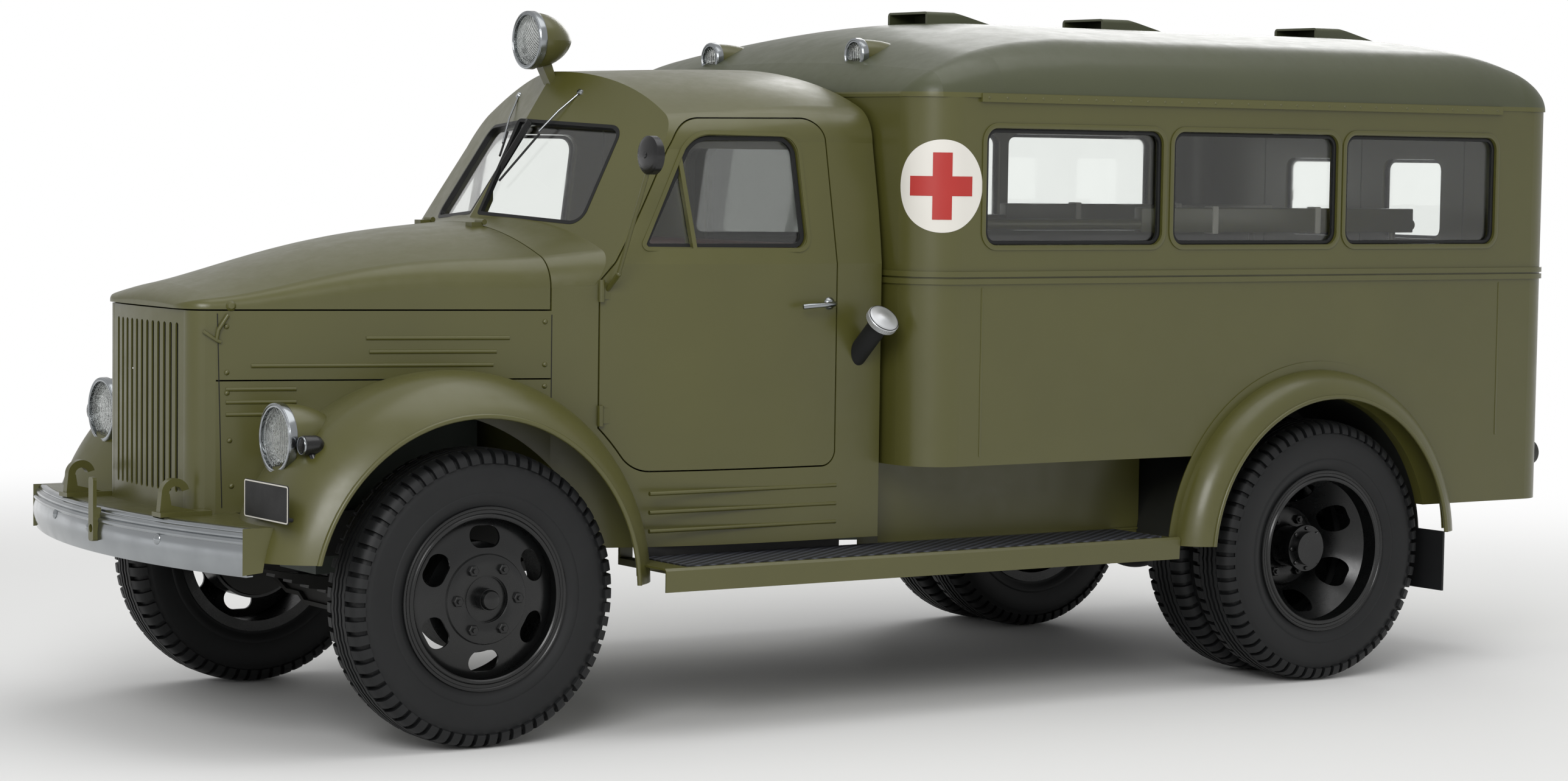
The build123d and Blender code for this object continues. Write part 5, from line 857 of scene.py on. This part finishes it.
head = turned(MIRROR_HEAD, 48, at(-522, 950, 1826), AHEAD)
finished(head, "mirror_head", (moulded_black, "chassis_paint"), "left_door")
mirror = turned(MIRROR, 48, at(-547, 950, 1826), BEHIND)
finished(mirror, "mirror_glass", (silvered, "bright_metal"), "left_door")
cap = turned(FUEL_CAP, 48, at(*FILLER_MOUTH), slope)
select_faces(cap, on_rim)
bpy.ops.mesh.inset(thickness=0.0011, use_individual=True)
bpy.ops.mesh.extrude_region_shrink_fatten(TRANSFORM_OT_shrink_fatten={"value": 0.0012})
bpy.ops.object.mode_set(mode="OBJECT")
brushed_cap = polished("brushed_cap_steel", "#d3d5d7", 0.34, 500.0, metal=0.7)
finished(cap, "fuel_cap", (brushed_cap, "bright_metal"))


# Running board mats: black ribbed rubber with a diamond pattern, glued in the board's tray.
# The diamonds are about 30 mm apart.
MAT_SIZE, MAT_CORNER, MAT_THICKNESS = (1940, 268), 12, 4
DIAMOND_TURN = 0.6
mat_material, tree, place = blank_material("diamond_rubber_mat")
checks = []
for turn in (DIAMOND_TURN, -DIAMOND_TURN):
    way = add(tree, "Mapping", {"Vector": place, "Rotation": (0, 0, turn)})
    checks.append(add(tree, "TexWave", {"Vector": way, "Scale": 10.0}, bands_direction="Y").outputs[1])
ridge = add(tree, "Math", checks, operation="MULTIPLY")
patterned(mat_material, ridge, ("#131417", "#555862"), (ridge, 1.0, 0.003), {"Roughness": 0.62})
for label, side in SIDES:
    place = (-1620, side * 872, 540)
    mat = rounded_plate("up", place, MAT_SIZE, MAT_CORNER, MAT_THICKNESS, edge=None, segments=6)
    finished(mat, "running_board_mat_" + label, (mat_material, "flap_rubber"))


# Drip rails and side seams: round-head rivets every 75 mm along the rail over the windows,
# and the sealed joints of the side panels under the belt.
RIVET = ((0.01, 2.6), (2.4, 2.1), (4.2, 0.9), (4.8, 0), (0.01, 0))
RIVET_STEP, RIVETS = 0.075, 32
SIDE_SEAMS, SIDE_SEAM_SIZE = (-1797, -4171), (8, 560)
for label, side in SIDES:
    rivet = turned(RIVET, 10, at(-4130, side * 1012, 2030), (0, side, 0))
    rivets = copies(rivet, [Matrix.Translation((RIVET_STEP * n, 0, 0)) for n in range(RIVETS)])
    finished(rivets, "drip_rail_rivets_" + label, olive_look)
    middles = [(x, side * 999.5, 1124) for x in SIDE_SEAMS]
    seams = [rounded_plate(label, middle, SIDE_SEAM_SIZE, 3.5, 2.4) for middle in middles]
    finished(seams, "side_seams_" + label, olive_look)


# Wipers: a bright rod arm from a boss over each pane, and a pressed blade holder with its rubber.
# The arms hang down from the edge of the roof.
WIPER_LIFT = 0.012
ARM_RADIUS, BLADE_RADIUS = 0.0032, 0.0038
WIPER_BOSS = ((0.01, 16), (9, 15), (12, 9), (13, 0), (0.01, 0))
# Columns: label and side, then the pivot, the arm's end, and the blade's top and foot
WIPERS = (
    ("left", 1, (-743, 169, 2030), (-634, 101, 1893), (-632, 104, 1888), (-513, 45, 1730)),
    ("right", -1, (-776, -296, 2023), (-601, -76, 1853), (-640, -120, 1893), (-563, -36, 1813)),
)
for label, side, *places in WIPERS:
    pivot, arm_end, blade_top, blade_foot = (at(*place) for place in places)
    normal = screen_normal(side)
    lift = normal * WIPER_LIFT
    arm = rod_along([pivot, (pivot + arm_end) / 2 + lift, arm_end + lift], ARM_RADIUS)
    blade = rod_along([blade_top + lift * 0.6, blade_foot + lift * 0.6], BLADE_RADIUS)
    boss = turned(WIPER_BOSS, 24, pivot - normal * 0.008, normal)
    finished([arm, boss], "wiper_arm_" + label, plated_look)
    finished(blade, "wiper_blade_" + label, rubber_look)


# Bonnet latches and panel seams: a forged anchor latch on each side of the bonnet's front, black
# strips painting the shadow in the side panels' upright seams, and round-head bolts along them.
SEAMS = (((646, 1322), (631, 722)), ((-371, 1318), (-371, 1030)))
SEAM_STEPS = 12
SEAM_BOLTS = (
    (619, 1282), (618, 1140), (617, 1077), (609, 930), (603, 789), (-350, 1296), (-350, 1160), (-350, 1092),
)
SEAM_BOLT = ((0.01, 6), (4, 5.2), (7, 3), (8.5, 0.6), (8.5, -1), (0.01, -1))
BONNET_HOOK = ((0.01, 12), (9, 11), (12, 7), (15, 2), (16, 0), (0.01, 0))
# The latch's top, knee, foot, tip and heel
LATCH = ((616, 1318), (645, 1272), (650, 1240), (688, 1268), (636, 1234))


def nearest_side(x, side, z):
    """Where a level ray from the side first meets the bonnet's panels or the cab: point, normal."""
    met = []
    for node in ("hood_side_panels", "radiator_shell", "cab_front", "hood"):
        found, point, normal, _ = nodes[node].ray_cast(at(x, side * 1200, z), Vector((0, -side, 0)))
        if found:
            met.append((-side * point.y, point, normal if normal.y * side > 0 else -normal))
    return min(met)[1:]


for label, side in SIDES:
    strips = []
    # Each strip is a thin black rod along a seam: painted shadow of the gap between the panels.
    for (x0, z0), (x1, z1) in SEAMS:
        shares = [n / SEAM_STEPS for n in range(SEAM_STEPS + 1)]
        points = [nearest_side(x0 + (x1 - x0) * share, side, z0 + (z1 - z0) * share)[0] for share in shares]
        strips.append(rod_along(points, 0.0016, 2))
    finished(strips, "panel_gap_shade_strips_" + label, rubber_look)
    bolts = [turned(SEAM_BOLT, 20, *nearest_side(x, side, z)) for x, z in SEAM_BOLTS]
    finished(bolts, "panel_seam_bolts_" + label, olive_look)
    out = Vector((0.0015, side * 0.006, 0))
    top, knee, foot, tip, heel = (nearest_side(x, side, z)[0] for x, z in LATCH)
    shank = rod_along([top + out, knee + out * 1.6, foot + out], 0.0065)
    fluke = rod_along([heel + out, foot + out * 1.2, (foot + tip) / 2 + out * 1.6, tip + out * 1.6], 0.0055)
    finished([shank, fluke], "bonnet_latch_" + label, olive_look, angle=50)
    hook = turned(BONNET_HOOK, 24, *nearest_side(606, side, 1345))
    finished(hook, "bonnet_hook_" + label, olive_look, "bonnet")


# Number plates: blank black pressed plates with a thin white border, the front one on round
# brackets. One stands before the left front fender, and one on the right of the rear wall.
PLATE_SIZE, BORDER_SIZE = (296, 116), (292, 112)
plate_enamel = coated("black_plate_enamel", "#0b0b0c", "#080809", "#0b0b0c", 0.55)
border_enamel = coated("white_border_enamel", "#cfccc4", "#c4c1b8", "#b9b5a8", 0.45)
front_plate = [
    rounded_plate("front", (700, 803, 785), PLATE_SIZE, 10, 3),
    rod_along([at(701, 740, 740), at(672, 735, 730)], 0.006),
    rod_along([at(701, 860, 740), at(640, 850, 730)], 0.006),
]
finished(front_plate, "number_plate_front", (plate_enamel, "chassis_paint"))
rear_plate = rounded_plate("rear", (-4450, -770, 1020), PLATE_SIZE, 10, 3)
finished(rear_plate, "number_plate_rear", (plate_enamel, "chassis_paint"))
borders = [
    rounded_plate("front", (703, 803, 785), BORDER_SIZE, 9, 1.4, 4, 0.4),
    rounded_plate("rear", (-4453, -770, 1020), BORDER_SIZE, 9, 1.4, 4, 0.4),
]
finished(borders, "number_plate_borders", (border_enamel, "olive_paint"))


# Splash shields: a pressed strip under each sill of the cab that closes the view to the frame.
# They hang from the cab's floor.
SHIELD_SIZE = (760, 46)
for label, side in SIDES:
    shield = rounded_plate(label, (-1040, side * 735, 558), SHIELD_SIZE, 3, 2)
    finished(shield, "splash_shield_" + label, (frame_paint, "chassis_paint"))


# Red cross: a white disc 305 mm across painted round each front corner of the body, with a
# plain red cross on it. Both are thin skins wound round the corner of 150 mm radius.
CORNER_X, CORNER_Y, CORNER_R = -1710.0, 850.0, 150.0
MARK_TURN = math.radians(62)
MARK_HEIGHT = 1738.0
MARK_THICKNESS = 0.0012
DISC_RADIUS = 0.1525
DISC_RINGS, DISC_RING_WIDTH = 13, 0.011
CROSS_SPAN = 0.22
CROSS_ARM = 0.0325
DISC_LIFT, CROSS_LIFT = 0.1, 1.2


def wound(piece, side, lift):
    """Thickens a flat piece in edit mode and winds it round the body's corner, lift off the wall."""
    bpy.ops.mesh.select_all(action="SELECT")
    bpy.ops.mesh.extrude_region_move(TRANSFORM_OT_translate={"value": (0, 0, MARK_THICKNESS)})
    bpy.ops.object.mode_set(mode="OBJECT")
    for vertex in piece.data.vertices:
        along, up, high = vertex.co.x * 1000, vertex.co.y * 1000, vertex.co.z * 1000 + lift
        turn = MARK_TURN + along / CORNER_R
        over = max(0.0, turn - math.pi / 2) * CORNER_R
        under = min(0.0, turn) * CORNER_R
        turn = min(max(turn, 0.0), math.pi / 2)
        reach = CORNER_R + high
        x = CORNER_X + reach * math.cos(turn) - over
        y = CORNER_Y + reach * math.sin(turn) + under
        vertex.co = at(x, side * y, MARK_HEIGHT + up)
    bpy.ops.object.mode_set(mode="EDIT")
    outside_out()
    return piece


def off_the_cross(middle, normal):
    """True where a square leaves the arms of the cross."""
    return min(abs(middle.x), abs(middle.y)) > CROSS_ARM


white_enamel = coated("white_sign_enamel", "#e2dfd8", "#d6d3cb", "#c9c4b6", 0.4)
red_enamel = coated("red_sign_enamel", "#b52f29", "#a32823", "#a5564a", 0.4)
for label, side in SIDES:
    bpy.ops.mesh.primitive_circle_add(vertices=96, radius=DISC_RADIUS, fill_type="NGON")
    disc = bpy.context.object
    edit_all("FACE")
    for _ in range(DISC_RINGS):
        bpy.ops.mesh.inset(thickness=DISC_RING_WIDTH)
    bpy.ops.mesh.poke()
    finished(wound(disc, side, DISC_LIFT), "white_disc_" + label, (white_enamel, "olive_paint"))
    bpy.ops.mesh.primitive_grid_add(x_subdivisions=17, y_subdivisions=17, size=CROSS_SPAN)
    cross = bpy.context.object
    select_faces(cross, off_the_cross)
    bpy.ops.mesh.delete(type="FACE")
    finished(wound(cross, side, CROSS_LIFT), "red_cross_" + label, (red_enamel, "olive_paint"))


# Instruments: four round gauges with plated bezels in the panel before the driver.
# The dials are blank, dark and matt.
GAUGES = (200, 290, 390, 480)
GAUGE_BEZEL = ((30, 0), (30, 6), (33, 9), (37, 6), (38, 0), (30, 0))
GAUGE_DIAL = ((0.01, 2), (30, 2), (30, 0), (0.01, 0))
dial_enamel = coated("dark_dial_enamel", "#15161a", "#101114", "#15161a", 0.35, coat=0.6)
gauges = [hit("dashboard", (-900, y, 1350), AHEAD) for y in GAUGES]
bezels = [turned(GAUGE_BEZEL, 36, *gauge) for gauge in gauges]
finished(bezels, "gauge_bezels", plated_look)
dials = [turned(GAUGE_DIAL, 36, *gauge) for gauge in gauges]
finished(dials, "gauge_dials", (dial_enamel, "dark_trim"))


# Cab bench: a pressed steel box with a stuffed seat and backrest in brown leathercloth.
# The cushions are blown up by a cloth simulation from a smaller block, so that they crown.
STUFFING_FRAMES = 20
SEAT_CELL, SEAT_SWELL = 0.011, 0.012
SEAT_BOX = ((-1458, -598, 731), (-1062, 598, 1006))
SEAT_CUSHION = ((-1470, -628, 1016), (-1032, 628, 1124))
SEAT_BACK = ((-1466, -610, 1150), (-1366, 610, 1548))


def leathercloth(name, colour, deep, grain_scale):
    """Coated cloth with a pebble grain and darker patches laid at random."""
    material, tree, place = blank_material(name)
    grain = add(tree, "TexVoronoi", {"Vector": place, "Scale": grain_scale})
    patch = add(tree, "TexNoise", {"Vector": place, "Scale": 8.0, "Detail": 4.0})
    sheen = add(tree, "MapRange", (patch, 0.3, 0.7, 0.42, 0.58))
    return patterned(material, patch, (colour, deep), (grain, 0.5, 0.0008), {"Roughness": sheen})


def rounded_block(corner, opposite, radius, segments=3):
    """A block between two corners in mm, with all its edges rounded."""
    corner, opposite = at(*corner), at(*opposite)
    bpy.ops.mesh.primitive_cube_add(size=1, location=(corner + opposite) / 2)
    piece = bpy.context.object
    edit_all("EDGE")
    bpy.ops.transform.resize(value=[abs(size) for size in opposite - corner])
    bpy.ops.mesh.bevel(offset=radius / 1000, segments=segments, affect="EDGES")
    bpy.ops.object.mode_set(mode="OBJECT")
    apply_place(piece)
    return piece


def stuffed(piece, cell, reach):
    """Swells a closed block like a cushion; no point moves further than reach, in metres."""
    piece.data.remesh_voxel_size = cell
    choose(piece)
    bpy.ops.object.voxel_remesh()
    before = [vertex.co.copy() for vertex in piece.data.vertices]
    cloth = piece.modifiers.new("stuffing", "CLOTH")
    cloth.settings.use_pressure = True
    cloth.settings.uniform_pressure_force = 4.0
    cloth.settings.effector_weights.gravity = 0.0
    cloth.point_cache.frame_start = 1
    cloth.point_cache.frame_end = STUFFING_FRAMES
    for step in range(1, STUFFING_FRAMES + 1):
        bpy.context.scene.frame_set(step)
    bpy.ops.object.modifier_apply(modifier="stuffing")
    bpy.context.scene.frame_set(1)
    for vertex, start in zip(piece.data.vertices, before):
        moved = vertex.co - start
        if moved.length > reach:
            vertex.co = start + moved.normalized() * reach
    applied(piece, "SUBSURF", levels=1, render_levels=1)
    return piece


seat_leather = leathercloth("brown_leathercloth", "#6b3323", "#57281c", 260.0)
seat_box = rounded_block(*SEAT_BOX, 8)
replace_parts(finished(seat_box, "seat_box", olive_look), "cab_seat")
seat_cushion = stuffed(rounded_block(*SEAT_CUSHION, 34), SEAT_CELL, SEAT_SWELL)
finished(seat_cushion, "seat_cushion", (seat_leather, "seat_cover"), angle=180)
seat_back = stuffed(rounded_block(*SEAT_BACK, 32), SEAT_CELL, SEAT_SWELL)
finished(seat_back, "seat_back", (seat_leather, "seat_cover"), angle=180)


# Stretchers: two shelves on legs, each with a stuffed canvas mattress, a grab rail with a guard
# board on posts, and white webbing straps. A canvas blind hangs over the pass window to the cab.
SHELF_REAR, SHELF_FRONT = -4300, -1750
SHELF_FOOT, SHELF_TOP = 1100, 1120
RAIL_Y, RAIL_HEIGHT = 400, 1600
LEGS, LEG_HALF = (-4240, -2500, -1810), 20
POSTS = (-4200, -1850)
POST_RADIUS, RAIL_RADIUS = 0.013, 0.02
BANDS, BAND_HALF = (-3900, -3000, -2100), 25
GUARD_STRAPS, GUARD_STRAP_HALF = (-3800, -3298), 14
WEBBING_THICKNESS = 0.002
MATTRESS_CELL, MATTRESS_SWELL = 0.016, 0.01


def woven(name, colour, deep, thread):
    """Plain-woven cloth; thread is the spacing of its threads in mm."""
    material, tree, place = blank_material(name)
    # The wave repeats every 314 mm at scale 1, so this draws threads about as far apart as real
    scale = 1000 / (math.pi * thread)
    waves = [
        add(tree, "TexWave", {"Vector": place, "Scale": scale}, bands_direction=direction).outputs[1]
        for direction in "XY"
    ]
    weave = add(tree, "Math", waves, operation="ADD")
    patch = add(tree, "TexNoise", {"Vector": place, "Scale": 10.0, "Detail": 5.0})
    inputs = {"Roughness": 0.85, "Sheen Weight": 0.2}
    return patterned(material, patch, (colour, deep), (weave, 0.5, 0.0006), inputs)


def on_ends(middle, normal):
    """True on the two ends of a strap's band."""
    return abs(normal.x) > 0.9


canvas = woven("pale_mattress_canvas", "#b3a684", "#a1946f", 2.4)
webbing = woven("white_cotton_webbing", "#dcd9cf", "#c9c5b8", 1.6)
for label, side in SIDES:
    rail_y = side * RAIL_Y
    shelf = [rounded_block((SHELF_REAR, side * 380, SHELF_FOOT), (SHELF_FRONT, side * 930, SHELF_TOP), 4)]
    for x in LEGS:
        leg_top = (x + LEG_HALF, rail_y + side * 2 * LEG_HALF, SHELF_FOOT)
        shelf.append(rounded_block((x - LEG_HALF, rail_y, 855), leg_top, 3))
    for x in POSTS:
        shelf.append(rod_along([at(x, rail_y, SHELF_TOP), at(x, rail_y, RAIL_HEIGHT)], POST_RADIUS))
    rail_ends = [at(x, rail_y, RAIL_HEIGHT) for x in (SHELF_REAR, SHELF_FRONT)]
    shelf.append(rod_along(rail_ends, RAIL_RADIUS))
    shelf.append(rounded_block((-4290, side * 378, 1571), (-2950, side * 422, 1662), 5))
    stretcher = finished(shelf, "stretcher_frame_" + label, olive_look)
    padding = rounded_block((-4272, side * 412, 1124), (-1778, side * 898, 1190), 24)
    mattress = stuffed(padding, MATTRESS_CELL, MATTRESS_SWELL)
    finished(mattress, "stretcher_mattress_" + label, (canvas, "cushion_cloth"), angle=180)
    straps = []
    for x in BANDS:
        band_foot, band_top = (x - BAND_HALF, side * 396, 1120.5), (x + BAND_HALF, side * 914, 1204)
        band = rounded_block(band_foot, band_top, 3, 2)
        select_faces(band, on_ends)
        bpy.ops.mesh.delete(type="FACE")
        bpy.ops.object.mode_set(mode="OBJECT")
        applied(band, "SOLIDIFY", thickness=WEBBING_THICKNESS)
        straps.append(band)
    for x in GUARD_STRAPS:
        strap_foot = (x - GUARD_STRAP_HALF, side * 374, 1566)
        strap_top = (x + GUARD_STRAP_HALF, side * 426, 1667)
        straps.append(rounded_block(strap_foot, strap_top, 4, 2))
    finished(straps, "stretcher_straps_" + label, (webbing, "cushion_cloth"))
    if side > 0:
        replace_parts(stretcher, "stretchers")


blind_canvas = woven("grey_blind_canvas", "#2e2f2c", "#262724", 2.0)
blind = rounded_block((-1607, -352, 1490), (-1600, 352, 1885), 2, 2)
finished(blind, "pass_window_blind", (blind_canvas, "cushion_cloth"))
